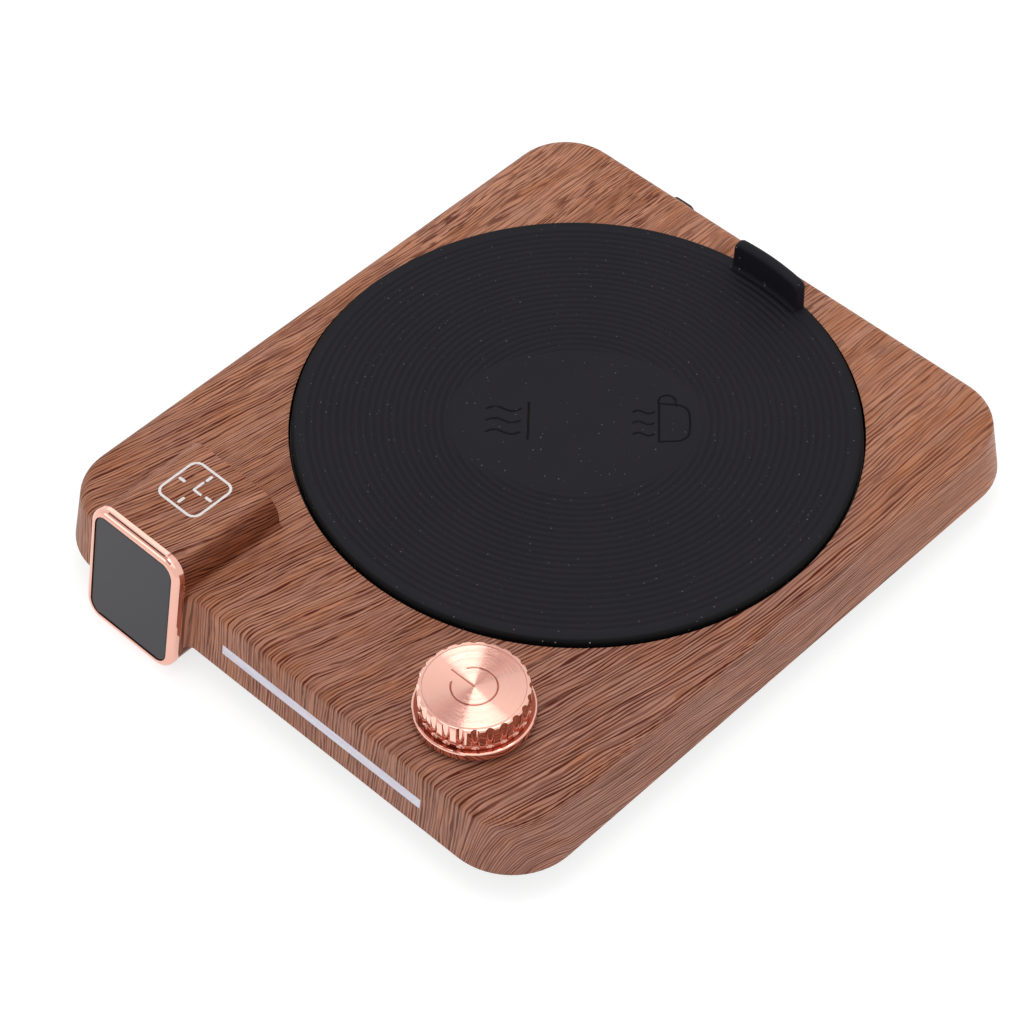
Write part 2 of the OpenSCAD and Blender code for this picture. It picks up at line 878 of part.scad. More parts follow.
// Saddle that holds the fuse against the shield
module fuse_clip() {
    clip_t = 0.6;
    clip_w = fuse_l / 2;
    ear = fuse_d;
    color([0.7, 0.7, 0.72])
        at_fuse()
            linear_extrude(clip_w, center = true)
                difference() {
                    union() {
                        circle(fuse_d / 2 + fit + clip_t);
                        translate([-fuse_d / 2 - fit, -ear - clip_t])
                            square([clip_t, 2 * (ear + clip_t)]);
                    }
                    circle(fuse_d / 2 + fit);
                    translate([-2 * fuse_d - fuse_d / 2 - fit, -2 * fuse_d])
                        square([2 * fuse_d, 4 * fuse_d]);
                    translate([-fuse_d, -fuse_d / 2 - fit])
                        square([fuse_d, fuse_d + 2 * fit]);
                }
}

// Copies a piece to the board's four posts
module board_places() {
    edge = 3.4;
    for (x = [board_left + edge, board_right - edge])
        translate([x, board_y0 + edge, 0])
            children();
    for (x = [board_left + edge, knob_x - encoder_w - edge])
        translate([x, board_y1 - edge, 0])
            children();
}

// Control board along the control strip, with a tab under the encoder
module control_board() {
    color([0.1, 0.35, 0.2])
        at_plate()
            difference() {
                translate([0, 0, board_under])
                    linear_extrude(board_t) {
                        translate([board_left, board_y0])
                            square([board_right - board_left, board_d]);
                        translate([knob_x - board_tab / 2, board_y1 - over])
                            square([board_tab, knob_y + encoder_w / 2 + 2 * over - board_y1]);
                    }
                board_places()
                    translate([0, 0, board_under - over])
                        cylinder(h = board_t + 2 * over, r = board_screw_r + pass);
            }
}

// Four screws that hold the board on its posts
module board_screws() {
    color([0.7, 0.7, 0.72])
        at_plate()
            board_places() {
                translate([0, 0, board_top - board_t - board_grip])
                    cylinder(h = board_t + board_grip, r = board_screw_r);
                translate([0, 0, board_top])
                    cylinder(h = board_screw_head_h, r = board_screw_head_r);
            }
}

// Moves a piece to the top of the board, at a share of the clear length left of the encoder
module on_board(share) {
    clear_left = touch_x + touch_d;
    clear_right = knob_x - encoder_w;
    forward = 1;
    at_plate()
        translate([clear_left + share * (clear_right - clear_left),
                   board_y0 + board_d / 2 - forward, board_top])
            children();
}

// Box capacitor with round upper edges
module mains_capacitor() {
    w = 12;
    d = 5;
    h = 5;
    edge = 1;
    color([0.85, 0.65, 0.15])
        on_board(0.12)
            rotate([90, 0, 0])
                linear_extrude(d, center = true) {
                    translate([-w / 2, 0])
                        square([w, h - edge]);
                    translate([0, h / 2])
                        round_rect(w, h, edge);
                }
}

// Round capacitor lying on the board between two small feet
module smoothing_capacitor() {
    r = 2.5;
    l = 9;
    color([0.15, 0.2, 0.35])
        on_board(0.42)
            translate([0, -l / 2, r])
                rotate([-90, 0, 0]) {
                    cylinder(h = l, r = r);
                    translate([-r / 2, 0, l / 4])
                        cube([r, r, l / 2]);
                }
}

// Relay that switches the heater
module power_relay() {
    w = 12;
    d = 9;
    h = 5.4;
    lid = 0.4;
    color([0.12, 0.12, 0.14])
        on_board(0.7) {
            translate([-w / 2, -d / 2, 0])
                cube([w, d, h - lid]);
            translate([-w / 2 + lid, -d / 2 + lid, 0])
                cube([w - 2 * lid, d - 2 * lid, h]);
        }
}

// Socket for the heater's leads
module lead_socket() {
    w = 7;
    d = 5;
    h = 4.6;
    skin = 0.7;
    color([0.92, 0.9, 0.84])
        on_board(0.95)
            difference() {
                translate([-w / 2, -d / 2, 0])
                    cube([w, d, h]);
                translate([-w / 2 + skin, -d / 2 + skin, skin])
                    cube([w - 2 * skin, d - 2 * skin, h]);
            }
}

// Moves a piece to the knob's axis
module at_knob() {
    at_plate()
        translate([knob_x, knob_y, 0])
            children();
}

// Encoder body: square case with a round cavity, and the bush that passes the cover
module encoder_body() {
    color([0.55, 0.56, 0.58])
        at_knob()
            difference() {
                union() {
                    translate([-encoder_w / 2, -encoder_w / 2, encoder_foot])
                        cube([encoder_w, encoder_w, encoder_h]);
                    translate([0, 0, under_top - encoder_roof / 2])
                        cylinder(h = bush_top - under_top + encoder_roof / 2, r = bush_r);
                }
                translate([0, 0, cavity_foot])
                    cylinder(h = cavity_top - cavity_foot, r = cavity_r);
                translate([0, 0, cavity_foot + fit])
                    cylinder(h = bush_top, r = shaft_r + fit);
            }
}

// Rotor that turns in the encoder and lets the shaft slide through it
module encoder_rotor() {
    r = cavity_r - seat;
    skirt_r = cavity_r - 1;
    color([0.9, 0.88, 0.8])
        at_knob()
            difference() {
                rotate_extrude()
                    polygon([[0, rotor_top - rotor_t], [skirt_r, rotor_top - rotor_t],
                             [skirt_r, cavity_foot + seat], [r, cavity_foot + seat],
                             [r, rotor_top], [0, rotor_top]]);
                flat_bar(tail_r + fit, flat_depth, cavity_foot, rotor_top + over);
            }
}

// Shaft: flat-sided tail in the rotor, round in the bush, flat-sided head in the knob
module encoder_shaft() {
    color([0.78, 0.78, 0.8])
        at_knob() {
            flat_bar(tail_r, flat_depth, shaft_foot, shoulder);
            translate([0, 0, shoulder])
                cylinder(h = hub_foot - shoulder, r = shaft_r);
            flat_bar(shaft_r, flat_depth, hub_foot, shaft_top);
        }
}

// Snap dome under the shaft that clicks and pushes the knob back
module switch_dome() {
    bow_r = (dome_r * dome_r + dome_h * dome_h) / (2 * dome_h);
    spread = asin(dome_r / bow_r);
    under_spread = acos(cos(spread) + dome_t / bow_r);
    middle = cavity_foot + dome_h - bow_r;
    color([0.8, 0.8, 0.78])
        at_knob()
            rotate_extrude()
                polygon(concat(arc(0, middle, bow_r, 90 - spread, 90),
                               arc(0, middle - dome_t, bow_r, 90, 90 - under_spread)));
}

// Washer under the encoder's nut
module encoder_washer() {
    color([0.72, 0.72, 0.74])
        at_knob()
            translate([0, 0, cover_top])
                difference() {
                    cylinder(h = washer_t, r = nut_r + seat);
                    translate([0, 0, -over])
                        cylinder(h = washer_t + 2 * over, r = bush_r + fit);
                }
}

// Hexagon nut that holds the encoder to the cover
module encoder_nut() {
    color([0.72, 0.72, 0.74])
        at_knob()
            translate([0, 0, cover_top + washer_t])
                difference() {
                    cylinder(h = nut_t, r = nut_r, $fn = 6);
                    translate([0, 0, -over])
                        cylinder(h = nut_t + 2 * over, r = bush_r + fit);
                }
}

// Outline of the knob: rounded flange, upright body, rounded top edge, seat for the disc
function knob_section() =
    let (f = flange_d / 2, b = knob_d / 2, soft = flange_t * 0.2, rim = 0.5)
    concat([[0, 0]], arc(f - soft, soft, soft, -90, 0, 4), arc(f - soft, flange_t - soft, soft, 0, 90, 4),
           [[b, flange_t]], arc(b - rim, cap_h - rim, rim, 0, 90, 5),
           [[inlay_r, cap_h], [inlay_r, cap_h - inlay_t], [0, cap_h - inlay_t]]);

// Section of one flute: a round-nosed cutter that stops above the flange
function flute_section() =
    let (foot = flange_t + flute_stop)
    concat([for (a = [-90:18:0]) [flute_r * cos(a), foot + flute_nose * (1 + sin(a))]],
           [[flute_r, cap_h + over], [0, cap_h + over]]);

// Fluted knob, hollow, with a hub for the shaft
module knob_cap() {
    hollow_r = knob_d / 2 - flute_r - cap_wall;
    hollow_h = cap_h - inlay_t - cap_roof;
    color([0.9, 0.62, 0.54])
        at_knob()
            difference() {
                translate([0, 0, knob_foot])
                    difference() {
                        rotate_extrude()
                            polygon(knob_section());
                        for (k = [0:flute_count - 1])
                            rotate([0, 0, 360 * k / flute_count])
                                translate([knob_d / 2 + flute_r - flute_depth, 0, 0])
                                    rotate_extrude($fn = 32)
                                        polygon(flute_section());
                        difference() {
                            translate([0, 0, -over])
                                cylinder(h = hollow_h + over, r = hollow_r);
                            translate([0, 0, hub_foot - knob_foot])
                                cylinder(h = cap_h, r = hub_r);
                        }
                    }
                flat_bar(shaft_r + fit, flat_depth, hub_foot - over, shaft_top + fit);
            }
}

// Spun disc let into the knob's top
module knob_inlay() {
    color([0.95, 0.72, 0.64])
        at_knob()
            translate([0, 0, knob_foot + cap_h - inlay_t])
                cylinder(h = inlay_t, r = inlay_r - fit);
}

// Section of the bezel from its corner's axis: round front edge, window lip, spigot
function bezel_section() =
    let (w = lens_r + fit, e = bezel_edge_r, s = lens_r + lens_flange + 2 * fit)
    concat([[w, bezel_proud]], arc(bezel_r - e, bezel_proud - e, e, 90, 0, 6),
           [[bezel_r, -bezel_depth], [s, -bezel_depth], [s, -lens_t], [w, -lens_t]]);

// Metal-plated frame round the display, with a spigot into the housing
module display_bezel() {
    color([0.9, 0.62, 0.54])
        at_display() {
            translate([0, lens_mid, 0])
                rim_loop(bezel_w, bezel_h, bezel_r)
                    polygon(bezel_section());
            translate([0, 0, -board_depth])
                difference() {
                    linear_extrude(board_depth - lens_back - fit)
                        difference() {
                            translate([0, lens_mid])
                                round_rect(bezel_w - lip, bezel_h - lip, bezel_r - lip / 2);
                            translate([0, spigot_mid])
                                square([spigot_w - 2 * spigot_wall, spigot_h - 2 * spigot_wall],
                                       center = true);
                        }
                    translate([0, 0, -over])
                        linear_extrude(spigot_depth + over)
                            difference() {
                                square(4 * watch_w, center = true);
                                translate([0, spigot_mid])
                                    round_rect(spigot_w, spigot_h, inner_r - seat);
                            }
                }
        }
}

// Dark lens in the bezel's window, with a flange behind the lip
module display_lens() {
    soft = 0.4;
    color([0.2, 0.2, 0.22])
        at_display()
            translate([0, lens_mid, 0]) {
                rim_loop(lens_w, lens_h, lens_r)
                    polygon(concat([[0, 0]], arc(lens_r - soft, -soft, soft, 90, 0, 4),
                                   [[lens_r, -lens_t - fit], [lens_r + lens_flange, -lens_t - fit],
                                    [lens_r + lens_flange, -lens_back], [0, -lens_back]]));
                core(lens_w, lens_h, lens_r, -lens_back, 0);
            }
}

// Panel that shows the time and heat, on its board
module display_panel() {
    panel_h = spigot_high - display_board_low - 3 * spigot_wall;
    color([0.3, 0.34, 0.36])
        at_display()
            translate([0, display_board_low + spigot_wall + panel_h / 2, -board_depth])
                linear_extrude(panel_t)
                    square([spigot_w - 4 * spigot_wall, panel_h], center = true);
}

// Board behind the panel, seated on the end of the spigot
module display_board() {
    board_h = spigot_high - seat - display_board_low;
    color([0.1, 0.35, 0.2])
        at_display()
            translate([0, display_board_low + board_h / 2, -board_depth - display_board_t])
                linear_extrude(display_board_t)
                    square([spigot_w - inner_r, board_h - spigot_wall], center = true);
}

// Springy conductive pad between the board and the housing's roof, under the clock mark
module touch_pad() {
    roof = stand + watch_top - watch_wall;
    foot_h = 1.6;
    waist = 0.8;
    color([0.3, 0.3, 0.32])
        at_plate()
            translate([touch_x, touch_y, board_top]) {
                cylinder(h = foot_h, r = touch_d / 2);
                cylinder(h = roof - board_top, r = touch_d / 2 - waist);
                translate([0, 0, roof - board_top - foot_h])
                    cylinder(h = foot_h, r = touch_d / 2);
            }
}

// Light bar: a clear strip through the front wall, with a flange and two posts behind
module light_bar() {
    color([0.82, 0.85, 0.9])
        at_bar() {
            translate([0, 0, -wall - fit])
                linear_extrude(wall + fit)
                    square([bar_l, bar_h], center = true);
            translate([0, 0, -wall - fit - bar_flange_t])
                linear_extrude(bar_flange_t)
                    square([bar_l + 2 * bar_flange, bar_h + bar_flange], center = true);
            for (end = [-1, 1])
                translate([end * (bar_l / 2 + bar_flange - bar_post / 2), 0, lamp_z])
                    linear_extrude(lamp_gap + fit)
                        square([bar_post, bar_h], center = true);
        }
}

// Narrow board on the light bar's posts
module lamp_board() {
    color([0.9, 0.9, 0.88])
        at_bar()
            translate([0, 0, lamp_z - lamp_board_t])
                linear_extrude(lamp_board_t)
                    square([bar_l + 2 * bar_flange, bar_h + bar_flange], center = true);
}

// Row of lamps on that board
module lamps() {
    color([0.95, 0.93, 0.7])
        at_bar()
            for (i = [0:lamp_count - 1])
                translate([(i + 0.5 - lamp_count / 2) * bar_l / lamp_count, 0, lamp_z])
                    linear_extrude(lamp_t)
                        square([lamp_w, bar_h], center = true);
}

// Cord gland: flange, body through the collar and a round bore for the cord
module cord_gland() {
    w = collar_w - 2 * gland_wall - 2 * fit;
    h = collar_h - 2 * gland_wall - 2 * fit;
    color([0.08, 0.08, 0.08])
        at_plate()
            translate([gland_x, gland_end, stand + gland_up])
                rotate([90, 0, 0])
                    difference() {
                        union() {
                            linear_extrude(gland_flange)
                                round_rect(collar_w - 2 * fit, collar_h - 2 * fit, collar_r - fit);
                            linear_extrude(gland_flange + collar_out + gland_in)
                                round_rect(w, h, gland_r - fit);
                        }
                        translate([0, 0, -over])
                            cylinder(h = gland_flange + collar_out + gland_in + 2 * over, r = gland_bore / 2);
                    }
}

top_cover();
base_cover();
rubber_feet();
case_screws();
silicone_mat();
heating_plate();
plate_seal();
heater_element();
insulation_disc();
heat_shield();
plate_screws();
sensor_probe();
thermal_fuse();
fuse_clip();
control_board();
board_screws();
mains_capacitor();
smoothing_capacitor();
power_relay();
lead_socket();
encoder_body();
encoder_rotor();
encoder_shaft();
switch_dome();
encoder_washer();
encoder_nut();
knob_cap();
knob_inlay();
display_bezel();
display_lens();
display_panel();
display_board();
touch_pad();
light_bar();
lamp_board();
lamps();
cord_gland();
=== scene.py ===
# Warming plate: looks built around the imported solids
# the scene is in metres, the values of pieces and finishes in mm
import json
import math

import bmesh
import bpy
import numpy as np
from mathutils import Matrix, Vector

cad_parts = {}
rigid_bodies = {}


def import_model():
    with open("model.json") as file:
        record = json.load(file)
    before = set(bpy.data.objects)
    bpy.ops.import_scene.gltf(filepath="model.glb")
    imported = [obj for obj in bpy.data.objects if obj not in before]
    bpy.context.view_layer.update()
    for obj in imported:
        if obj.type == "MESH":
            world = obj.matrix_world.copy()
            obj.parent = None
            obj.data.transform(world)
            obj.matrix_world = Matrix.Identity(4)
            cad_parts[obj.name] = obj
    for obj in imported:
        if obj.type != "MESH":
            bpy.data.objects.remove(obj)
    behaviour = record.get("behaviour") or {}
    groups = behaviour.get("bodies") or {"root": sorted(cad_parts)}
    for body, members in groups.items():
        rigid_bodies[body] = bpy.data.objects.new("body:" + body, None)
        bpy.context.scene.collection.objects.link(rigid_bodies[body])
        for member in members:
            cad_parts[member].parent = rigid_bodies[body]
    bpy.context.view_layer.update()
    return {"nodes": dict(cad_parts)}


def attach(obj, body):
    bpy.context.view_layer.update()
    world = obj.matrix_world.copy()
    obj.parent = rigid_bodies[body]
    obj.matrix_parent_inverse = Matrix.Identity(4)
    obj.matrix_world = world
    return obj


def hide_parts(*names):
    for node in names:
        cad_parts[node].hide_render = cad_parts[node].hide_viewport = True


for leftover in list(bpy.data.objects):
    bpy.data.objects.remove(leftover)
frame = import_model()
nodes = frame["nodes"]
scene = bpy.context.scene
scene.view_settings.view_transform = "Standard"
mm = 0.001
print("frame loaded:", len(nodes), "nodes")

# places that pieces and finishes share, in mm
matMiddle = (0.7, 12.45)
knobMiddle = (38.8, -57.65)
knobTop = 30.2
housingX = -37.0
housingTop = 29.0
coverTop = 21.4

# camera on a sphere about its target, from where the picture was taken
photoView = {
    "azimuth": 43.73,
    "elevation": 48.74,
    "distance": 704.7 * mm,
    "target": (-1.33 * mm, -5.153 * mm, 6.2 * mm),
    "lens": 117.28,
    "sensor": 36,
    "clip": (0.01, 20),
}


def makeCamera(view):
    a, e = math.radians(view["azimuth"]), math.radians(view["elevation"])
    back = Vector((math.sin(a) * math.cos(e), -math.cos(a) * math.cos(e), math.sin(e)))
    data = bpy.data.cameras.new("photoCamera")
    data.lens = view["lens"]
    data.sensor_width = view["sensor"]
    data.clip_start, data.clip_end = view["clip"]
    camera = bpy.data.objects.new("photoCamera", data)
    scene.collection.objects.link(camera)
    camera.location = Vector(view["target"]) + back * view["distance"]
    camera.rotation_mode = "QUATERNION"
    camera.rotation_quaternion = (-back).to_track_quat("-Z", "Y")
    scene.camera = camera


makeCamera(photoView)
print("camera placed")


# nodes for the materials: a socket in a value's place is linked, anything else is set
def setInput(socket, value):
    if isinstance(value, bpy.types.NodeSocket):
        value.id_data.links.new(value, socket)
    else:
        socket.default_value = value


# a node in the tree given, or else in the one that its inputs come from
def addNode(kind, inputs, tree=None, **settings):
    if tree is None:
        tree = next(value.id_data for value in inputs.values() if isinstance(value, bpy.types.NodeSocket))
    made = tree.nodes.new("ShaderNode" + kind)
    for key, value in settings.items():
        setattr(made, key, value)
    for key, value in inputs.items():
        setInput(made.inputs[key], value)
    return made


def calc(how, a, b=0.0):
    return addNode("Math", {0: a, 1: b}, operation=how).outputs[0]


def plus(a, b):
    return calc("ADD", a, b)


def minus(a, b):
    return calc("SUBTRACT", a, b)


def times(first, *others):
    for other in others:
        first = calc("MULTIPLY", first, other)
    return first


def calcVector(how, a, b=(0, 0, 0)):
    return addNode("VectorMath", {0: a, 1: b}, operation=how).outputs[0]


def parted(value):  # x, y and z of a vector
    return addNode("SeparateXYZ", {0: value}).outputs


def joined(x, y, z=0.0):
    return addNode("CombineXYZ", {0: x, 1: y, 2: z}).outputs[0]


def reachFrom(at, middle):  # distance from an upright axis
    flat = calcVector("MULTIPLY", calcVector("SUBTRACT", at, middle), (1, 1, 0))
    return addNode("VectorMath", {0: flat}, operation="LENGTH").outputs["Value"]


def carried(tree, name):  # a value that the mesh holds at its points
    return addNode("Attribute", {}, tree, attribute_type="GEOMETRY", attribute_name=name).outputs["Fac"]


def spread(value, low, high, toLow=0.0, toHigh=1.0):  # low..high becomes toLow..toHigh, clamped
    how = "SMOOTHSTEP" if (toLow, toHigh) == (0.0, 1.0) else "LINEAR"
    ends = {0: value, 1: low, 2: high, 3: toLow, 4: toHigh}
    return addNode("MapRange", ends, interpolation_type=how).outputs[0]


def blendColour(share, first, second, how="MIX"):
    inputs = {0: share, 6: first, 7: second}
    return addNode("Mix", inputs, data_type="RGBA", blend_type=how).outputs[2]


def cloud(where, scale=1.0, detail=2.0, rough=0.5, warp=0.0):
    return addNode("TexNoise", {"Vector": where, "Scale": scale, "Detail": detail,
                                "Roughness": rough, "Distortion": warp}).outputs[0]


# stretches of a cloud's values that finishes use
cloudWide = (0.25, 0.8)
cloudMost = (0.3, 0.8)
cloudCore = (0.3, 0.75)
cloudHigh = (0.35, 0.75)


def stretched(where, size):  # coordinates in cells of the given size, in mm
    often = tuple(1 / (s * mm) for s in size)
    return addNode("Mapping", {"Vector": where, "Scale": often}).outputs[0]


def raised(height, depth, strength=1.0):  # bump of a 0..1 height, depth in mm
    inputs = {"Strength": strength, "Distance": depth * mm, "Height": height}
    return addNode("Bump", inputs).outputs[0]


# a material with these sockets set, and the coordinates that its recipe reads
def newFinish(name, sockets, reads="Object"):
    made = bpy.data.materials.new(name)
    made.use_nodes = True
    shader = made.node_tree.nodes["Principled BSDF"].inputs
    for key, value in sockets.items():
        shader[key].default_value = value
    return made, shader, addNode("TexCoord", {}, made.node_tree).outputs[reads]


def dress(shader, colour, roughness=None, normal=None):
    for key, value in (("Base Color", colour), ("Roughness", roughness), ("Normal", normal)):
        if value is not None:
            setInput(shader[key], value)


def srgb(r, g, b):  # 0..255 screen colour as a linear colour
    c = np.array([r, g, b]) / 255
    return tuple(np.where(c <= 0.04045, c / 12.92, ((c + 0.055) / 1.055) ** 2.4)) + (1.0,)


# wood film: grain runs front to back on the top, leans towards the front and folds down the walls
woodFilm = {
    "light": srgb(209, 146, 115),
    "middle": srgb(186, 122, 89),
    "warm": srgb(201, 125, 79),
    "mauve": srgb(184, 134, 117),
    "dark": srgb(86, 26, 3),
    # painted light on the walls
    "pale": srgb(205, 163, 146),
    # painted shade along the housing's inner flank
    "deep": srgb(190, 164, 148),
    "inside": srgb(24, 21, 20),
    "gloss": 0.11,
    "roughness": (0.38, 0.54),
    "bump": (0.03, 0.4),
    "housingHalf": 13.2,
    "wallsFrom": (7.0, 11.0),  # past the housing's flank, where the walls' own facing takes over
    "flankLean": 0.9,
    "pocket": (60.9, 0.05),  # radius, and how far under the top the bare moulding starts
    "lean": (20.0, -76.0, 0.0016),  # from, to, and how fast the grain bends aside
    # grains: width and length of a cell, layer, detail, roughness
    "bends": [((26.0, 60.0, 0.0), 5.0), ((4.0, 20.0, 7.0), 2.2), ((0.9, 9.0, 8.0, 1.0), 0.34)],
    "step": ((0.55, 3.2, 12.0, 1.0), 0.17),
    "band": (6.5, 90.0, 1.0),  # broad light and dark bands
    "gap": (0.85, 30.0, 2.0, 1.0),  # where a line swells or fades out
    "dash": (0.42, 7.0, 3.0, 1.0),  # short open pores
    "fibre": (0.20, 12.0, 4.0, 2.0, 0.6),
    "patch": (9.0, 30.0, 5.0, 1.0),  # where the pores crowd together
    "tone": (3.4, 14.0, 9.0),  # warmer and cooler stains
    "force": (1.5, 24.0, 11.0, 1.0),  # how strongly a line is printed
    "torn": (0.45, 4.5, 13.0, 1.0),  # where a line breaks into dashes
    "linePitch": (0.80, 1.33),
    "lineShare": (0.68, 0.32),
    "lineEdge": (-0.20, 0.34),
    "lineSwell": 2.5,
    "lineForce": (0.34, 0.56, 0.60, 1.0),
    "lineTorn": (0.52, 0.36, 0.0, 0.42),
    "sparse": (-16.0, 62.0, 0.35),  # from, to and slant of the stretch where lines thin out to the back
    "sparseLines": (0.36, 0.78),  # how much narrower and how faint they are there
    "corner": (34.0, -6.0),  # back left, lines give way to short streaks
    "leftward": (66.0, 34.0),  # lines stay long along the right
    "poreEdge": (0.505, 0.585),
    "poreCrowd": (0.36, 0.56, 0.40, 1.0),
    "poreCorner": (0.38, 0.88),
    "bandEdge": (0.32, 0.64),
    "coolFront": (0.0, 0.6, 0.62, 0.0),
    "coolRight": (-30.0, 40.0, 0.15, 1.0),
    "warmShare": (0.52, 0.72, 0.0, 0.55),
    "mauveShare": (0.48, 0.28, 0.0, 0.50),
    "fibreShare": (0.38, 0.70, 0.0, 0.38),
    "fibreHeight": 0.25,
    # painted light on the walls and painted shade on the housing's inner flank
    "paintedWallLight": {"facing": (0.60, 0.15), "level": (20.6, 18.5), "share": 0.16},
    "flank": {"facing": (0.15, 0.75), "level": (20.9, 23.0), "past": 9.0},
}


def makeWoodFilm(look):
    made, shader, at = newFinish("woodFilm", {"Specular IOR Level": look["gloss"]})
    inMm = calcVector("MULTIPLY", at, (1 / mm,) * 3)
    x, y, z = parted(inMm)
    faceX, faceY, faceZ = parted(addNode("TexCoord", {}, made.node_tree).outputs["Normal"])
    # unfolded: below the top by the wall's own facing, above it by the housing's two sides
    half, lean = look["housingHalf"], look["flankLean"]
    below = calc("MINIMUM", minus(z, coverTop), 0.0)
    lift = minus(housingTop, calc("MAXIMUM", z, coverTop))
    side = spread(x, housingX - half, housingX + half, -lean, lean)
    apart = calc("ABSOLUTE", minus(x, housingX))
    turned = times(faceX, spread(apart, *(half + past for past in look["wallsFrom"])))
    across = plus(minus(x, times(turned, below)), times(lift, side))
    along = minus(y, times(faceY, below))
    start, stop, rate = look["lean"]
    run = calc("MAXIMUM", minus(start, calc("MAXIMUM", along, stop)), 0.0)
    across = plus(across, times(run, run, rate))

    def grain(base, wide, long, layer, detail=2.0, rough=0.5):
        spot = joined(times(base, 1 / wide), times(along, 1 / long), layer)
        return cloud(spot, 1.0, detail, rough)

    def swing(value, much):
        return times(minus(value, 0.5), much)

    bent = across
    for cell, much in look["bends"]:
        bent = plus(bent, swing(grain(across, *cell), much))
    leftward = spread(x, *look["leftward"])
    cell, much = look["step"]
    bent = plus(bent, times(swing(grain(across, *cell), much), leftward))
    layers = ("band", "gap", "dash", "fibre", "patch", "tone", "force", "torn")
    band, gap, dash, fibre, patch, tone, force, torn = (grain(bent, *look[key]) for key in layers)

    # lines: two sines across the grain, cut off where their sum is low, faded towards the back
    front, back, slant = look["sparse"]
    thin, fade = look["sparseLines"]
    sparse = spread(minus(y, times(x, slant)), front, back)
    sines = (calc("SINE", times(bent, 2 * math.pi / pitch)) for pitch in look["linePitch"])
    wave = plus(*(times(sine, share) for sine, share in zip(sines, look["lineShare"])))
    wave = plus(wave, swing(gap, look["lineSwell"]))
    wave = minus(wave, times(sparse, thin))
    broken = times(spread(torn, *look["lineTorn"]), leftward)
    lines = times(spread(wave, *look["lineEdge"]), spread(sparse, 0.0, 1.0, 1.0, fade),
                  spread(force, *look["lineForce"]), minus(1.0, broken))
    corner = times(sparse, spread(x, *look["corner"]))
    pores = times(spread(dash, *look["poreEdge"]), spread(patch, *look["poreCrowd"]),
                  spread(corner, 0.0, 1.0, *look["poreCorner"]))
    darkMask = calc("MAXIMUM", lines, pores)

    colour = blendColour(spread(band, *look["bandEdge"]), look["middle"], look["light"])
    cool = times(spread(sparse, *look["coolFront"]), spread(x, *look["coolRight"]))
    # painted light on the film: paler on the walls for the light they catch, and painted shade, darker
    # along the housing's inner flank
    paintedWallLight, flank = look["paintedWallLight"], look["flank"]
    paintedWallLightShare = times(spread(faceZ, *paintedWallLight["facing"]), spread(z, *paintedWallLight["level"]), paintedWallLight["share"])
    paintedFlankShadeShare = times(spread(faceX, *flank["facing"]), spread(z, *flank["level"]),
                   calc("LESS_THAN", x, housingX + half + flank["past"]))
    tints = ((cool, "mauve"), (spread(tone, *look["warmShare"]), "warm"),
             (spread(tone, *look["mauveShare"]), "mauve"),
             (spread(fibre, *look["fibreShare"]), "dark"), (darkMask, "dark"), (paintedWallLightShare, "pale"))
    for share, tint in tints:
        colour = blendColour(share, colour, look[tint])
    # painted shade along the housing's inner flank
    colour = blendColour(paintedFlankShadeShare, colour, look["deep"], "MULTIPLY")
    # inside the pocket the moulding shows bare
    radius, under = look["pocket"]
    bare = times(calc("LESS_THAN", reachFrom(inMm, (*matMiddle, 0)), radius),
                 calc("LESS_THAN", z, coverTop - under))
    colour = blendColour(bare, colour, look["inside"])
    height = minus(times(fibre, look["fibreHeight"]), darkMask)
    dress(shader, colour, spread(darkMask, 0.0, 1.0, *look["roughness"]), raised(height, *look["bump"]))
    return made


# silicone: charcoal, dull, with a fine skin, pale dust, darker where a mark is pressed in, and painted
# shade on the rim's side
matSilicone = {
    "colour": srgb(25, 23, 31),
    "worn": srgb(30, 28, 36),
    # for pressed marks, and the painted shade on the rim's side
    "pressed": srgb(8, 8, 10),
    "dust": srgb(170, 170, 170),
    "gloss": 0.13,
    "roughness": (0.60, 0.74),
    "skin": (2600, 3, 0.6),
    "smear": (34, 3, 0.55),
    "bump": (0.02, 0.5),
    "specks": 850.0,
    "speckSize": (0.03, 0.13),
    "speckShare": 0.50,
}


def makeSilicone(look):
    made, shader, at = newFinish("matSilicone", {"Specular IOR Level": look["gloss"]})
    skin = cloud(at, *look["skin"])
    smear = cloud(at, *look["smear"])
    colour = blendColour(spread(smear, *cloudHigh), look["colour"], look["worn"])
    # darker where a mark is pressed in, and painted shade on the rim's side
    colour = blendColour(carried(made.node_tree, "pressed"), colour, look["pressed"])
    specks = addNode("TexVoronoi", {"Vector": at, "Scale": look["specks"]}, feature="F1").outputs
    lot = addNode("SeparateColor", {0: specks["Color"]}).outputs
    size = spread(lot[1], 0.0, 1.0, *look["speckSize"])
    speck = times(calc("LESS_THAN", specks["Distance"], size),
                  calc("GREATER_THAN", lot[0], look["speckShare"]), lot[2])
    colour = blendColour(speck, colour, look["dust"])
    dress(shader, colour, spread(smear, *cloudMost, *look["roughness"]), raised(skin, *look["bump"]))
    return made


# rose metal: polished with faint hairlines, or spun round the disc
roseMetal = {
    "colour": srgb(242, 190, 174),
    "deep": srgb(234, 178, 161),
    # painted dark reflection on the knob flange's top
    "shade": srgb(150, 80, 64),
    "cut": srgb(178, 112, 96),
    "polish": (0.06, 0.12),
    "hair": (3.0, 0.12, 0.12),
    "haze": (160, 3, 0.55),
    "fine": (1.0, 2, 0.6),
    "bump": (0.01, 0.15),
    "foot": {"reach": (12.0, 11.8), "level": (25.0, 24.5)},  # where the painted dark reflection on the flange's top fades in
    "spun": (0.07, 0.13),
    "tracks": (380.0, 3.0),
    "lean": 2.4,
}


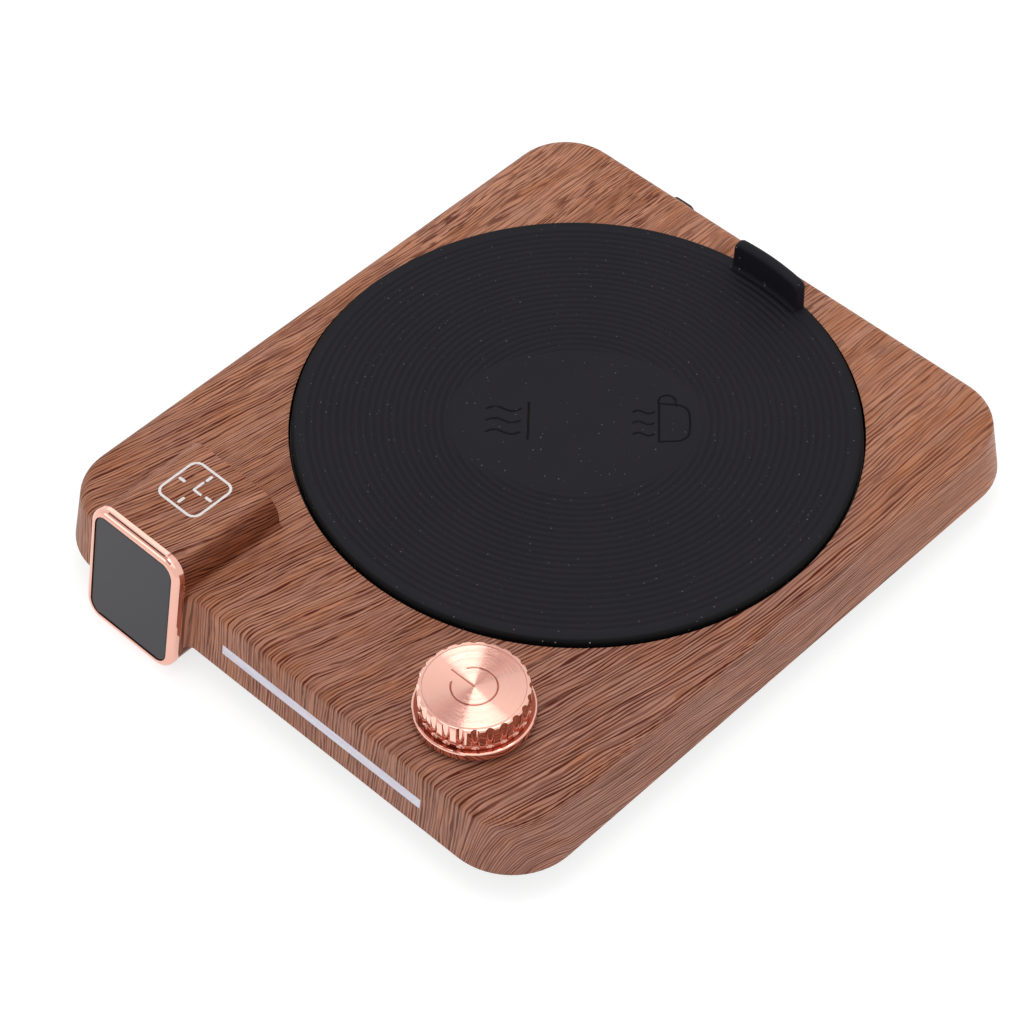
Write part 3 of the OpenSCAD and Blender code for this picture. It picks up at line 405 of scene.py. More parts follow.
def makeRosePolished(look, name, foot=None):
    made, shader, at = newFinish(name, {"Metallic": 1.0})
    hair = cloud(stretched(at, look["hair"]), *look["fine"])
    haze = cloud(at, *look["haze"])
    colour = blendColour(haze, look["colour"], look["deep"])
    if foot:  # painted dark reflection on the flange's top, short of its edge
        reach = reachFrom(at, [c * mm for c in (*knobMiddle, 0)])
        low = spread(parted(at)[2], *(level * mm for level in foot["level"]))
        inside = spread(reach, *(r * mm for r in foot["reach"]))
        colour = blendColour(times(low, inside), colour, look["shade"])
    dress(shader, colour, spread(hair, *cloudCore, *look["polish"]), raised(haze, *look["bump"]))
    return made


# spun: fine tracks that lean the facing in and out along the radius, darker where the mark is cut
def makeRoseSpun(look):
    made, shader, at = newFinish("roseSpun", {"Metallic": 1.0}, "UV")
    tree = made.node_tree
    cells = [times(part, often) for part, often in zip(parted(at), look["tracks"])]
    track = cloud(joined(*cells), *look["fine"])
    colour = blendColour(track, look["colour"], look["deep"])
    colour = blendColour(carried(tree, "pressed"), colour, look["cut"])
    tangent = addNode("Tangent", {}, tree, direction_type="UV_MAP", uv_map="spin").outputs[0]
    slope = times(minus(track, 0.5), look["lean"])
    lean = addNode("VectorMath", {0: tangent, "Scale": slope}, operation="SCALE").outputs[0]
    facing = calcVector("ADD", addNode("NewGeometry", {}, tree).outputs["Normal"], lean)
    dress(shader, colour, spread(track, *cloudWide, *look["spun"]), calcVector("NORMALIZE", facing))
    return made


# display lens: dark and glossy, blacker round the edge
lensDark = {
    "colour": srgb(35, 31, 40),
    "upper": srgb(46, 42, 50),
    "border": srgb(24, 23, 27),
    "middle": (housingX, -79.96, 15.94),
    "half": (10.7, 12.4),
    "edge": 0.15,
    "lean": 10.4,
    "climb": (-14, 22),  # how far up and across the paler tone comes in
    "smear": (120, 3, 0.6),
    "gloss": 0.42,
    "roughness": (0.05, 0.09),
}


def makeLensDark(look):
    made, shader, at = newFinish("lensDark", {"Specular IOR Level": look["gloss"]})
    moved = calcVector("SUBTRACT", at, [c * mm for c in look["middle"]])
    upright = addNode("Mapping", {"Vector": moved, "Rotation": (math.radians(look["lean"]), 0, 0)})
    x, _, z = parted(upright.outputs[0])
    over = [minus(calc("ABSOLUTE", c), half * mm) for c, half in zip((x, z), look["half"])]
    rim = spread(calc("MAXIMUM", *over), -look["edge"] * mm, look["edge"] * mm)
    smear = cloud(at, *look["smear"])
    climb = spread(minus(z, x), *(c * mm for c in look["climb"]))
    colour = blendColour(climb, look["colour"], look["upper"])
    colour = blendColour(rim, colour, look["border"])
    dress(shader, colour, spread(smear, *cloudMost, *look["roughness"]))
    return made


# light bar: milky strip that lets light a little way in
barFrosted = {
    "colour": srgb(240, 235, 246),
    "shade": srgb(224, 220, 234),
    "depth": {"Subsurface Weight": 0.25, "Subsurface Scale": 0.6 * mm},
    "streak": (9.0, 1.2, 1.2),
    "milk": (1.0, 3, 0.6),
    "frost": (5200, 2, 0.6),
    "bump": (0.01, 0.4),
    "roughness": (0.28, 0.42),
}


def makeBarFrosted(look):
    made, shader, at = newFinish("barFrosted", look["depth"])
    milk = cloud(stretched(at, look["streak"]), *look["milk"])
    frost = cloud(at, *look["frost"])
    colour = blendColour(spread(milk, *cloudCore), look["colour"], look["shade"])
    dress(shader, colour, spread(frost, *cloudCore, *look["roughness"]), raised(frost, *look["bump"]))
    return made


# the plainer finishes share three recipes: moulded, metal with a drawn grain, and turned metal
moulded = {
    "sparkle": (3, 0.65),
    "smear": (70, 3, 0.55),
    "sway": (-0.08, 0.08),  # how far the roughness strays
    "strength": 0.5,
}


def makeMoulded(name, colour, shade, roughness, grain=2200, depth=0.03, gloss=0.5):
    made, shader, at = newFinish(name, {"Specular IOR Level": gloss})
    sparkle = cloud(at, grain, *moulded["sparkle"])
    smear = cloud(at, *moulded["smear"])
    tint = blendColour(spread(smear, *cloudCore), srgb(*colour), srgb(*shade))
    ends = [roughness + sway for sway in moulded["sway"]]
    dress(shader, tint, spread(sparkle, *cloudCore, *ends), raised(sparkle, depth, moulded["strength"]))
    return made


drawnMetal = {
    "streak": (1.0, 3, 0.65),
    "stain": (90, 3, 0.6),
    "share": 0.35,
    "sway": (-0.08, 0.10),
    "bump": (0.01, 0.35),
}


def makeDrawnMetal(name, colour, shade, roughness, grain=(4.0, 0.08, 0.08)):
    made, shader, at = newFinish(name, {"Metallic": 1.0})
    streak = cloud(stretched(at, grain), *drawnMetal["streak"])
    stain = cloud(at, *drawnMetal["stain"])
    tint = blendColour(spread(stain, *cloudHigh), srgb(*colour), srgb(*shade))
    tint = blendColour(times(streak, drawnMetal["share"]), tint, srgb(*shade))
    ends = [roughness + sway for sway in drawnMetal["sway"]]
    dress(shader, tint, spread(streak, *cloudWide, *ends), raised(streak, *drawnMetal["bump"]))
    return made


# turned: rings left by the lathe about a middle
turnedPlate = {
    "pitch": 0.22,
    "ring": (1.0, 3, 0.7),
    "stain": (60, 3, 0.6),
    "sway": (-0.07, 0.10),
    "bump": (0.02, 0.4),
}


def makeTurnedPlate(name, colour, shade, roughness, middle):
    made, shader, at = newFinish(name, {"Metallic": 1.0})
    turns = times(reachFrom(at, middle), 1 / (turnedPlate["pitch"] * mm))
    ring = cloud(joined(turns, 0.0), *turnedPlate["ring"])
    stain = cloud(at, *turnedPlate["stain"])
    tint = blendColour(spread(stain, *cloudCore), srgb(*colour), srgb(*shade))
    ends = [roughness + sway for sway in turnedPlate["sway"]]
    dress(shader, tint, spread(ring, *cloudWide, *ends), raised(ring, *turnedPlate["bump"]))
    return made


# heater film: amber sheet with a dark printed track in rings
elementFilm = {
    "film": srgb(196, 138, 52),
    "smeared": srgb(158, 100, 34),
    "track": srgb(96, 62, 40),
    "pitch": 4.2,
    "trackEdge": (-0.25, 0.05),
    "smear": (110, 3, 0.6),
    "bump": (0.04, 0.5),
    "coat": 0.3,
    "roughness": (0.30, 0.46),
}


def makeElementFilm(look, middle):
    made, shader, at = newFinish("elementFilm", {"Coat Weight": look["coat"]})
    turns = times(reachFrom(at, middle), 2 * math.pi / (look["pitch"] * mm))
    track = spread(calc("SINE", turns), *look["trackEdge"])
    smear = cloud(at, *look["smear"])
    film = blendColour(smear, look["film"], look["smeared"])
    dress(shader, blendColour(track, film, look["track"]),
          spread(smear, *cloudMost, *look["roughness"]), raised(track, *look["bump"]))
    return made


# felt: tangled fibres, pale and very rough
insulationFelt = {
    "pale": srgb(236, 232, 222),
    "clump": srgb(206, 200, 186),
    "hollow": srgb(160, 152, 138),
    "tangle": (1500, 5, 0.75, 1.6),
    "clumps": (240, 3, 0.6),
    "hollowShare": (0.45, 0.75, 0.0, 0.35),
    "bump": (0.25, 0.7),
    "fuzz": {"Roughness": 0.95, "Sheen Weight": 0.3},
}


def makeFelt(look):
    made, shader, at = newFinish("insulationFelt", look["fuzz"])
    tangle = cloud(at, *look["tangle"])
    clump = cloud(at, *look["clumps"])
    tint = blendColour(spread(clump, *cloudCore), look["pale"], look["clump"])
    tint = blendColour(spread(tangle, *look["hollowShare"]), tint, look["hollow"])
    dress(shader, tint, normal=raised(tangle, *look["bump"]))
    return made


# circuit board: green mask with paler copper tracks in a square net
boardLaminate = {
    "mask": srgb(24, 92, 56),
    "weave": srgb(16, 74, 44),
    "track": srgb(70, 140, 88),
    "cell": (2.2, 2.2, 2.2),
    "trackWidth": 0.07,
    "routes": (320, 1, 0.4),
    "routeEdge": (0.48, 0.52),
    "threads": (1800, 2, 0.6),
    "bump": (0.03, 0.5),
    "gloss": 0.5,
    "roughness": (0.30, 0.42),
}


def makeBoard(look):
    made, shader, at = newFinish("boardLaminate", {"Specular IOR Level": look["gloss"]})
    black, white = (0, 0, 0, 1), (1, 1, 1, 1)
    net = addNode("TexBrick", {"Vector": stretched(at, look["cell"]), "Scale": 1.0,
                                     "Color1": black, "Color2": black, "Mortar": white,
                                     "Mortar Size": look["trackWidth"]})
    routes = spread(cloud(at, *look["routes"]), *look["routeEdge"])
    track = times(net.outputs["Fac"], routes)
    weave = cloud(at, *look["threads"])
    mask = blendColour(weave, look["mask"], look["weave"])
    dress(shader, blendColour(track, mask, look["track"]),
          spread(weave, *cloudMost, *look["roughness"]), raised(track, *look["bump"]))
    return made


# printed ink: white, slightly broken by the film below it
markInk = {
    "colour": srgb(240, 236, 234),
    "fleck": srgb(214, 206, 202),
    "flecks": (3000, 2, 0.6),
    "fleckEdge": (0.45, 0.8),
    "gloss": 0.4,
    "roughness": (0.42, 0.56),
}


def makeInk(look):
    made, shader, at = newFinish("markInk", {"Specular IOR Level": look["gloss"]})
    fleck = cloud(at, *look["flecks"])
    tint = blendColour(spread(fleck, *look["fleckEdge"]), look["colour"], look["fleck"])
    dress(shader, tint, spread(fleck, *cloudMost, *look["roughness"]))
    return made


heaterMiddle = [c * mm for c in (*matMiddle, 0)]
silicone = makeSilicone(matSilicone)
roseSpun = makeRoseSpun(roseMetal)
screwSteel = makeDrawnMetal("screwSteel", (188, 189, 194), (150, 151, 158), 0.30, (0.9, 0.9, 0.05))
shieldSteel = makeDrawnMetal("shieldSteel", (196, 198, 202), (164, 166, 172), 0.32)
board = makeBoard(boardLaminate)
nylon = makeMoulded("socketNylon", (236, 232, 220), (222, 216, 200), 0.46)
blackRubber = makeMoulded("footRubber", (30, 30, 31), (40, 40, 41), 0.72, 3000, 0.05, 0.3)
finishes = {
    "top_cover": makeWoodFilm(woodFilm),
    "base_cover": makeMoulded("darkPlastic", (38, 35, 34), (46, 43, 41), 0.58, 1700, 0.06),
    "rubber_feet": blackRubber,
    "cord_gland": blackRubber,
    "case_screws": screwSteel,
    "plate_screws": screwSteel,
    "board_screws": screwSteel,
    "encoder_washer": screwSteel,
    "encoder_nut": screwSteel,
    "heating_plate": makeTurnedPlate("plateAluminium", (52, 52, 55), (40, 40, 43), 0.44, heaterMiddle),
    "plate_seal": makeMoulded("sealSilicone", (196, 96, 74), (176, 80, 60), 0.62, 1200, 0.03, 0.3),
    "heater_element": makeElementFilm(elementFilm, heaterMiddle),
    "insulation_disc": makeFelt(insulationFelt),
    "heat_shield": shieldSteel,
    "sensor_probe": shieldSteel,
    "fuse_clip": shieldSteel,
    "switch_dome": shieldSteel,
    "thermal_fuse": makeMoulded("fuseCeramic", (236, 226, 206), (222, 210, 186), 0.24, 900, 0.01),
    "control_board": board,
    "display_board": board,
    "lamp_board": nylon,
    "lead_socket": nylon,
    "mains_capacitor": makeMoulded("filmCapacitor", (222, 178, 60), (204, 158, 44), 0.34, 700, 0.02),
    "smoothing_capacitor": makeMoulded("canCapacitor", (38, 48, 84), (30, 38, 68), 0.26, 500, 0.01),
    "power_relay": makeMoulded("relayCase", (36, 36, 40), (46, 46, 50), 0.40, 1600, 0.03),
    "encoder_body": makeDrawnMetal("encoderCase", (176, 178, 182), (146, 148, 154), 0.34),
    "encoder_rotor": makeMoulded("rotorAcetal", (238, 234, 220), (226, 220, 202), 0.40),
    "encoder_shaft": makeDrawnMetal("shaftAluminium", (214, 215, 219), (188, 190, 196), 0.26,
                                    (0.9, 0.9, 0.06)),
    "knob_cap": makeRosePolished(roseMetal, "knobPolished", roseMetal["foot"]),
    "display_bezel": makeRosePolished(roseMetal, "rosePolished"),
    "display_lens": makeLensDark(lensDark),
    "display_panel": makeMoulded("panelGlass", (70, 76, 80), (58, 64, 68), 0.12, 400, 0.005),
    "touch_pad": makeMoulded("padFoam", (84, 84, 88), (68, 68, 72), 0.85, 1100, 0.20, 0.2),
    "light_bar": makeBarFrosted(barFrosted),
    "lamps": makeMoulded("lampResin", (248, 240, 190), (240, 226, 160), 0.20, 600, 0.01),
}
for name, finish in finishes.items():
    for slot in nodes[name].material_slots:
        slot.material = finish
print("finishes made:", len(finishes))


# quads of a grid of points, joined round where asked
def gridQuads(rows, columns, roundRows=False, roundColumns=False):
    r, c = np.meshgrid(np.arange(rows if roundRows else rows - 1),
                       np.arange(columns if roundColumns else columns - 1), indexing="ij")
    r2, c2 = (r + 1) % rows, (c + 1) % columns
    corners = [r * columns + c, r2 * columns + c, r2 * columns + c2, r * columns + c2]
    return np.stack(corners, -1).reshape(-1, 4)


weld = {"doubled": 2e-7, "sliver": 1e-8}  # in metres


# puts points (in mm) and quads into a mesh, closes doubled points and turns the faces outwards
def makePiece(name, points, quads, finish, body, spin=None, crease=35, pressed=None):
    mesh = bpy.data.meshes.new(name)
    points = np.asarray(points, np.float32).reshape(-1, 3) * mm
    mesh.vertices.add(len(points))
    mesh.vertices.foreach_set("co", points.ravel())
    mesh.loops.add(quads.size)
    mesh.loops.foreach_set("vertex_index", quads.astype(np.int32).ravel())
    mesh.polygons.add(len(quads))
    mesh.polygons.foreach_set("loop_start", np.arange(0, quads.size, 4, dtype=np.int32))
    if spin is not None:
        layer = mesh.uv_layers.new(name="spin")
        layer.data.foreach_set("uv", np.asarray(spin, np.float32)[quads.ravel()].ravel())
    if pressed is not None:
        layer = mesh.attributes.new("pressed", "FLOAT", "POINT")
        layer.data.foreach_set("value", np.asarray(pressed, np.float32).ravel())
    mesh.update(calc_edges=True)
    work = bmesh.new()
    work.from_mesh(mesh)
    bmesh.ops.remove_doubles(work, verts=work.verts, dist=weld["doubled"])
    bmesh.ops.dissolve_degenerate(work, edges=work.edges, dist=weld["sliver"])
    bmesh.ops.recalc_face_normals(work, faces=work.faces)
    work.to_mesh(mesh)
    work.free()
    mesh.polygons.foreach_set("use_smooth", np.ones(len(mesh.polygons), bool))
    mesh.set_sharp_from_angle(angle=math.radians(crease))
    mesh.materials.append(finish)
    piece = bpy.data.objects.new(name, mesh)
    scene.collection.objects.link(piece)
    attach(piece, body)
    return piece


# points of a circle's arc at even angles, from start to end in degrees
def arcPoints(x, y, r, start, end, count=8):
    a = np.radians(np.linspace(start, end, count))
    return np.stack([x + r * np.cos(a), y + r * np.sin(a)], -1)


# surface of revolution: radius and height of the profile carried round an upright axis
def revolve(profile, middle, turns):
    a = np.linspace(0, 2 * math.pi, turns, endpoint=False)
    r, z = profile[:, :1], profile[:, 1:]
    points = np.stack([middle[0] + r * np.cos(a), middle[1] + r * np.sin(a), z + 0 * a], -1)
    return points, gridQuads(len(profile), turns, roundColumns=True)


# mat: a disc with fine raised rings, a plain oval with pressed marks, and a finger lip
matShape = {
    "middle": matMiddle,
    "under": 20.0,
    "face": 22.7,
    "radius": 60.0,
    "turns": 288,
    "rim": 0.85,
    "footRound": 0.45,
    # radii over which the rim's side is painted dark, painted shade
    "paintedRimShade": (59.0, 59.5),
    "ringFirst": 18.92,
    "ringPitch": 1.57,
    "ringCount": 25,
    "ringDepth": 0.25,
    "ringSteps": 12,
    "ringPower": 2.2,
    "ringFade": 0.3,
    "upper": 0.5,  # what lies this near the face is the mat's top
    "turn": -2.9,
    "oval": {"half": (26.4, 19.7), "towards": 43.0, "shift": (0.2, -0.25), "flat": (1.07, 0.07),
             "sink": (0.955, 0.02, 0.5), "raise": 0.01, "deep": 0.45},
    "ovalKnots": (-1, -0.80, -0.14, 0.14, 0.80, 1),
    "ovalSteps": (16, 118, 22, 118, 16),
    "lip": {"width": 20.0, "thick": 2.7, "outer": 59.8, "top": 30.2, "corner": 1.5, "edge": 0.55,
            "draft": 0.03, "root": 1.2, "crown": 1.05, "flare": (0.55, 1.1), "steps": (97, 22, 17),
            "crowd": 1.4},
    "cup": {"at": (13.7, 23.75), "right": (0.67, -0.743), "brim": 5.5, "waist": (5.25, -2.2),
            "corner": (2.1, -3.4, 3.1), "handle": (-6.0, -1.7, 1.85),
            "handleEnds": ((-5.4, 0.1), (-4.9, -3.6)), "steam": (-2.9, 0.2, 3.4), "rise": (1.1, 5.4, 0.42)},
    "heat": {"at": (-9.9, 2.1), "right": (0.67, -0.743), "line": (5.2, -4.6),
             "steam": (-3.3, 0.0, 3.3), "rise": (-2.9, 4.2, 0.62)},
    "line": 0.17,
    "lineSoft": (0.10, 0.18),
    "pressed": 0.30,
}


# ring heights: cosine valleys of one pitch, narrowed by a power, faded out at both ends
def ringHeights(r, shape):
    phase = (r - shape["ringFirst"]) / shape["ringPitch"]
    valley = (0.5 + 0.5 * np.cos(2 * math.pi * phase)) ** shape["ringPower"]
    ends = np.stack([phase + 0.5, shape["ringCount"] - 0.5 - phase]) / shape["ringFade"]
    return shape["face"] - shape["ringDepth"] * valley * np.clip(ends, 0, 1).prod(0)


# the oval's middle, its two directions as rows, and its half lengths along them
def ovalAxes(shape):
    oval = shape["oval"]
    a = math.radians(oval["towards"])
    axes = np.array([[math.cos(a), math.sin(a)], [-math.sin(a), math.cos(a)]])
    return np.array(shape["middle"]) + np.array(oval["shift"]), axes, np.array(oval["half"])


# rings: a revolved profile, levelled and sunk wherever the oval covers it, with painted shade round the
# rim's side
def makeMatRings(shape):
    first, pitch, face, oval = shape["ringFirst"], shape["ringPitch"], shape["face"], shape["oval"]
    rim, foot = shape["rim"], shape["footRound"]
    steps = shape["ringSteps"]
    r = first - pitch / 2 + np.arange(shape["ringCount"] * steps + 2) * pitch / steps
    rings = np.stack([r, ringHeights(r, shape)], -1)
    edge = arcPoints(shape["radius"] - rim, face - rim, rim, 90, 0, 9)
    base = arcPoints(shape["radius"] - foot, shape["under"] + foot, foot, 0, -90, 6)
    profile = np.vstack([[[0, face]], rings, edge, base, [[0, shape["under"]]]])
    points, quads = revolve(profile, shape["middle"], shape["turns"])
    middle, axes, half = ovalAxes(shape)
    own = np.linalg.norm((points[..., :2] - middle) @ axes.T / half, axis=-1)  # 1 on the oval's outline
    top = points[..., 2] > face - shape["upper"]
    outer, fade = oval["flat"]
    level = np.clip((outer - own) / fade, 0, 1)
    points[..., 2] += np.where(top, (face - points[..., 2]) * level, 0)
    inner, fade, deep = oval["sink"]
    points[..., 2] -= np.where(top, deep * np.clip((inner - own) / fade, 0, 1), 0)
    # painted shade on the rim's side, carried in the pressed value
    paintedRimShade = np.clip((profile[:, 0] - shape["paintedRimShade"][0]) / (shape["paintedRimShade"][1] - shape["paintedRimShade"][0]), 0, 1)
    piece = makePiece("mat-rings", points, quads, silicone, "mat", pressed=np.repeat(paintedRimShade, shape["turns"]))
    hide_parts("silicone_mat")


# marks: rows of points in the mark's own right and up directions
def placeMark(rows, mark):
    right = np.array(mark["right"])
    up = np.array([right[1], -right[0]])
    return [np.array(mark["at"]) + row[:, :1] * right + row[:, 1:] * up for row in rows]


# one sine swing about an upright line
def waveRow(x, low, high, swing, count=18):
    h = np.linspace(low, high, count)
    return np.stack([x + swing * np.sin(2 * math.pi * (h - low) / (high - low)), h], -1)


# cup: straight sides, two round corners, an arc for the handle, three waves of steam
def cupRows(cup):
    brim, (side, low), (x, y, r) = cup["brim"], cup["waist"], cup["corner"]
    corners = np.vstack([arcPoints(-x, y, r, 182, 270, 9), arcPoints(x, y, r, 270, 358, 9)])
    bowl = np.vstack([[[-brim, 0], [-side, low]], corners, [[side, low], [brim, 0], [-brim, 0]]])
    above, under = cup["handleEnds"]
    handle = np.vstack([[above], arcPoints(*cup["handle"], 95, 262, 12), [under]])
    return [bowl, handle] + [waveRow(x, *cup["rise"]) for x in cup["steam"]]


# heat: three waves over a straight line
def heatRows(heat):
    half, low = heat["line"]
    return [np.array([[-half, low], [half, low]])] + [waveRow(x, *heat["rise"]) for x in heat["steam"]]


# least distance from each grid point to the segments of the marks' rows
def rowDistance(grid, rows):
    best = np.full(grid.shape[:-1], 1e3)
    for row in rows:
        for a, b in zip(row[:-1], row[1:]):
            d = b - a
            t = np.clip(((grid - a) @ d) / (d @ d), 0, 1)
            best = np.minimum(best, np.linalg.norm(grid - a - t[..., None] * d, axis=-1))
    return best


# plain oval: a square grid, closer where the marks are, pulled out to an ellipse
# marks are pressed in by their distance from each point
def makeMatMiddle(shape):
    knots, oval = shape["ovalKnots"], shape["oval"]
    spans = zip(knots[:-1], knots[1:], shape["ovalSteps"])
    s = np.concatenate([np.linspace(a, b, steps, endpoint=False) for a, b, steps in spans] + [[1]])
    n = len(s)
    a, b = np.meshgrid(s, s, indexing="ij")
    middle, axes, half = ovalAxes(shape)
    flat = np.stack([a * np.sqrt(1 - b * b / 2), b * np.sqrt(1 - a * a / 2)], -1) * half @ axes + middle
    cup, heat = shape["cup"], shape["heat"]
    marks = placeMark(cupRows(cup), cup) + placeMark(heatRows(heat), heat)
    wider, soft = shape["lineSoft"]
    press = np.clip((shape["line"] + wider - rowDistance(flat, marks)) / soft, 0, 1)
    press = press * press * (3 - 2 * press)
    z = shape["face"] + oval["raise"] - shape["pressed"] * press
    top = np.concatenate([flat, z[..., None]], -1).reshape(-1, 3)
    # the outline's points in order, carried down to a level foot and in to its middle
    ring = np.concatenate([np.arange(n), np.arange(2, n + 1) * n - 1, n * n - 2 - np.arange(n - 1),
                           n * (n - 2 - np.arange(n - 2))])
    count, low = len(ring), shape["face"] - oval["deep"]
    foot = top[ring].copy()
    foot[:, 2] = low
    points = np.vstack([top, foot, np.tile([*middle, low], (count, 1))])
    order = np.concatenate([ring, n * n + np.arange(2 * count)])
    quads = np.vstack([gridQuads(n, n), order[gridQuads(3, count, roundColumns=True)]])
    shade = np.concatenate([press.ravel(), np.zeros(2 * count)])
    piece = makePiece("mat-middle", points, quads, silicone, "mat", crease=60, pressed=shade)


# lip: a round-topped slab section carried along the mat's edge, drawn in at both ends
def makeMatLip(shape):
    lip, face = shape["lip"], shape["face"]
    corner, edge, crownR = lip["corner"], lip["edge"], lip["crown"]
    steps, wallSteps, crownSteps = lip["steps"]
    s = lip["width"] / 2 * np.sin(np.linspace(-1, 1, steps) * math.pi / 2)
    d = lip["width"] / 2 - np.abs(s)  # how far from the nearer end
    top = lip["top"] - (corner - np.sqrt(corner ** 2 - np.clip(corner - d, 0, corner) ** 2))
    thin = lip["thick"] / 2 - edge + np.sqrt(edge ** 2 - np.clip(edge - d, 0, edge) ** 2)
    low = face - lip["root"]
    # the section: up one wall, over the crown, down the other wall
    wall = np.linspace(0, 1, wallSteps) ** lip["crowd"]
    crown = np.linspace(0, math.pi, crownSteps)
    side = np.concatenate([np.ones(wallSteps), np.cos(crown), -np.ones(wallSteps)])
    lift = np.concatenate([wall, np.ones(crownSteps), wall[::-1]])
    bow = np.concatenate([np.zeros(wallSteps), np.sin(crown), np.zeros(wallSteps)])
    z = low + lift * (top[:, None] - crownR - low) + bow * crownR
    wide, tall = lip["flare"]
    flare = wide * np.clip(1 - (z - face) / tall, 0, 1) ** 2 * (side < 0)
    radial = lip["outer"] - lip["thick"] / 2 + side * thin[:, None] - flare
    taper = 1 - lip["draft"] * np.clip((z - face) / (lip["top"] - face), 0, 1)
    a = math.radians(90 + shape["turn"]) - s[:, None] * taper / lip["outer"]
    x, y = shape["middle"]
    points = np.stack([x + radial * np.cos(a), y + radial * np.sin(a), z], -1)
    rows, columns = points.shape[:2]
    caps = [points[[end]].mean(1, keepdims=True).repeat(columns, 1) for end in (0, -1)]
    points = np.concatenate([caps[0], points, caps[1]])
    quads = gridQuads(rows + 2, columns, roundColumns=True)
    piece = makePiece("mat-lip", points, quads, silicone, "mat", crease=50)


makeMatRings(matShape)
makeMatMiddle(matShape)
makeMatLip(matShape)
print("mat made")


# knob disc: a polar grid whose height drops along the power mark's arc and stroke
knobDisc = {
    "middle": knobMiddle,
    "foot": 29.6,
    "top": knobTop,
    "radius": 10.22,
    "chamfer": 0.05,
    "steps": (64, 1.25),  # rows along the radius, degrees between columns
    "mark": {"radius": 4.6, "towards": 180.0, "gap": 29.5, "stroke": 6.0, "line": 0.26, "depth": 0.22},
    # reach and count of the extra rows and columns along the mark
    "closer": {"arc": (0.7, 29), "strokeEnd": (0.5, 15), "stroke": (9, 73), "arcEnd": (6, 33)},
}


# extra values to both sides of a middle, so that the grid is closer there
def closer(middle, reach, count):
    return middle + np.linspace(-reach, reach, count)


def makeKnobDisc(shape):
    mark, radius, foot = shape["mark"], shape["radius"], shape["foot"]
    towards, gap = mark["towards"], mark["gap"]
    rows, degrees = shape["steps"]
    near = shape["closer"]
    r = np.concatenate([np.linspace(0, radius - shape["chamfer"], rows),
                        closer(mark["radius"], *near["arc"]), closer(mark["stroke"], *near["strokeEnd"])])
    r = np.unique(np.round(r, 4))
    a = np.concatenate([np.arange(0, 360, degrees), closer(towards, *near["stroke"]),
                        closer(towards + gap, *near["arcEnd"]), closer(towards - gap, *near["arcEnd"])])
    a = np.radians(np.unique(np.round(a % 360, 3)))
    rr, aa = np.meshgrid(r, a, indexing="ij")
    off = (aa - math.radians(towards) + math.pi) % (2 * math.pi) - math.pi
    clear = np.maximum(math.radians(gap) - np.abs(off), 0) * rr
    arc = np.hypot(rr - mark["radius"], clear)
    x, y = rr * np.cos(off), rr * np.sin(off)
    stroke = np.hypot(x - np.clip(x, 0, mark["stroke"]), y)
    cut = np.clip(1 - np.minimum(arc, stroke) / mark["line"], 0, 1)
    z = shape["top"] - mark["depth"] * cut
    outer = np.array([[radius, shape["top"] - shape["chamfer"]], [radius, foot], [0, foot]])
    rr = np.vstack([rr, np.tile(outer[:, :1], len(a))])
    z = np.vstack([z, np.tile(outer[:, 1:], len(a))])
    aa = np.tile(a, (len(rr), 1))
    middleX, middleY = shape["middle"]
    points = np.stack([middleX + rr * np.cos(aa), middleY + rr * np.sin(aa), z], -1)
    quads = gridQuads(*rr.shape, roundColumns=True)
    spin = np.stack([rr / radius, aa / (2 * math.pi)], -1).reshape(-1, 2)
    shade = np.vstack([cut, np.zeros((len(outer), len(a)))])
    piece = makePiece("knob-disc", points, quads, roseSpun, "knob", spin, crease=50, pressed=shade)
    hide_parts("knob_inlay")


makeKnobDisc(knobDisc)
print("knob disc made")


# clock mark: a low arched ribbon along each line, its ends rounded off
clockMark = {
    "middle": (-38.26, -59.73),
    "level": housingTop,
    "half": (5.7, 5.7),
    "corner": 2.0,
    "line": 0.62,
    "thick": 0.05,
    "tick": (2.95, 4.85),
    "tickLine": 0.75,
    "hands": {"at": (-0.15, -0.25), "tall": 2.9, "wide": 2.3, "turn": 0.05},
}


# ribbon: half an ellipse of the given width and height carried along the path, narrowed to round ends
def ribbonPoints(path, width, thick, level, closed):
    if closed:
        tangent = np.roll(path, -1, 0) - np.roll(path, 1, 0)
        taper = np.ones(len(path))
    else:
        tangent = np.gradient(path, axis=0)
        run = np.concatenate([[0], np.cumsum(np.linalg.norm(np.diff(path, axis=0), axis=1))])
        end = np.clip(1 - np.minimum(run, run[-1] - run) / (width / 2), 0, 1)
        taper = np.sqrt(1 - end ** 2)
    tangent /= np.linalg.norm(tangent, axis=1, keepdims=True)
    normal = np.stack([-tangent[:, 1], tangent[:, 0]], -1)
    q = np.linspace(0, math.pi, 9)
    across = width / 2 * np.cos(q)
    flat = path[:, None, :] + normal[:, None, :] * (across * taper[:, None])[..., None]
    z = level + thick * np.sin(q) * taper[:, None]
    z[:, [0, -1]] -= thick
    points = np.concatenate([flat, z[..., None]], -1)
    return points.reshape(-1, 3), gridQuads(len(path), len(q), roundRows=closed, roundColumns=True)


# rectangle with a quarter circle at each corner
def roundSquare(half, corner):
    x, y = half[0] - corner, half[1] - corner
    middles = ((x, y), (-x, y), (-x, -y), (x, -y))
    return np.vstack([arcPoints(*at, corner, 90 * i, 90 * i + 90, 14) for i, at in enumerate(middles)])


# straight line, its points closer towards both ends by a cosine
def strokeLine(a, b, count=15):
    t = 0.5 - 0.5 * np.cos(math.pi * np.linspace(0, 1, count)[:, None])
    return np.array(a) * (1 - t) + np.array(b) * t


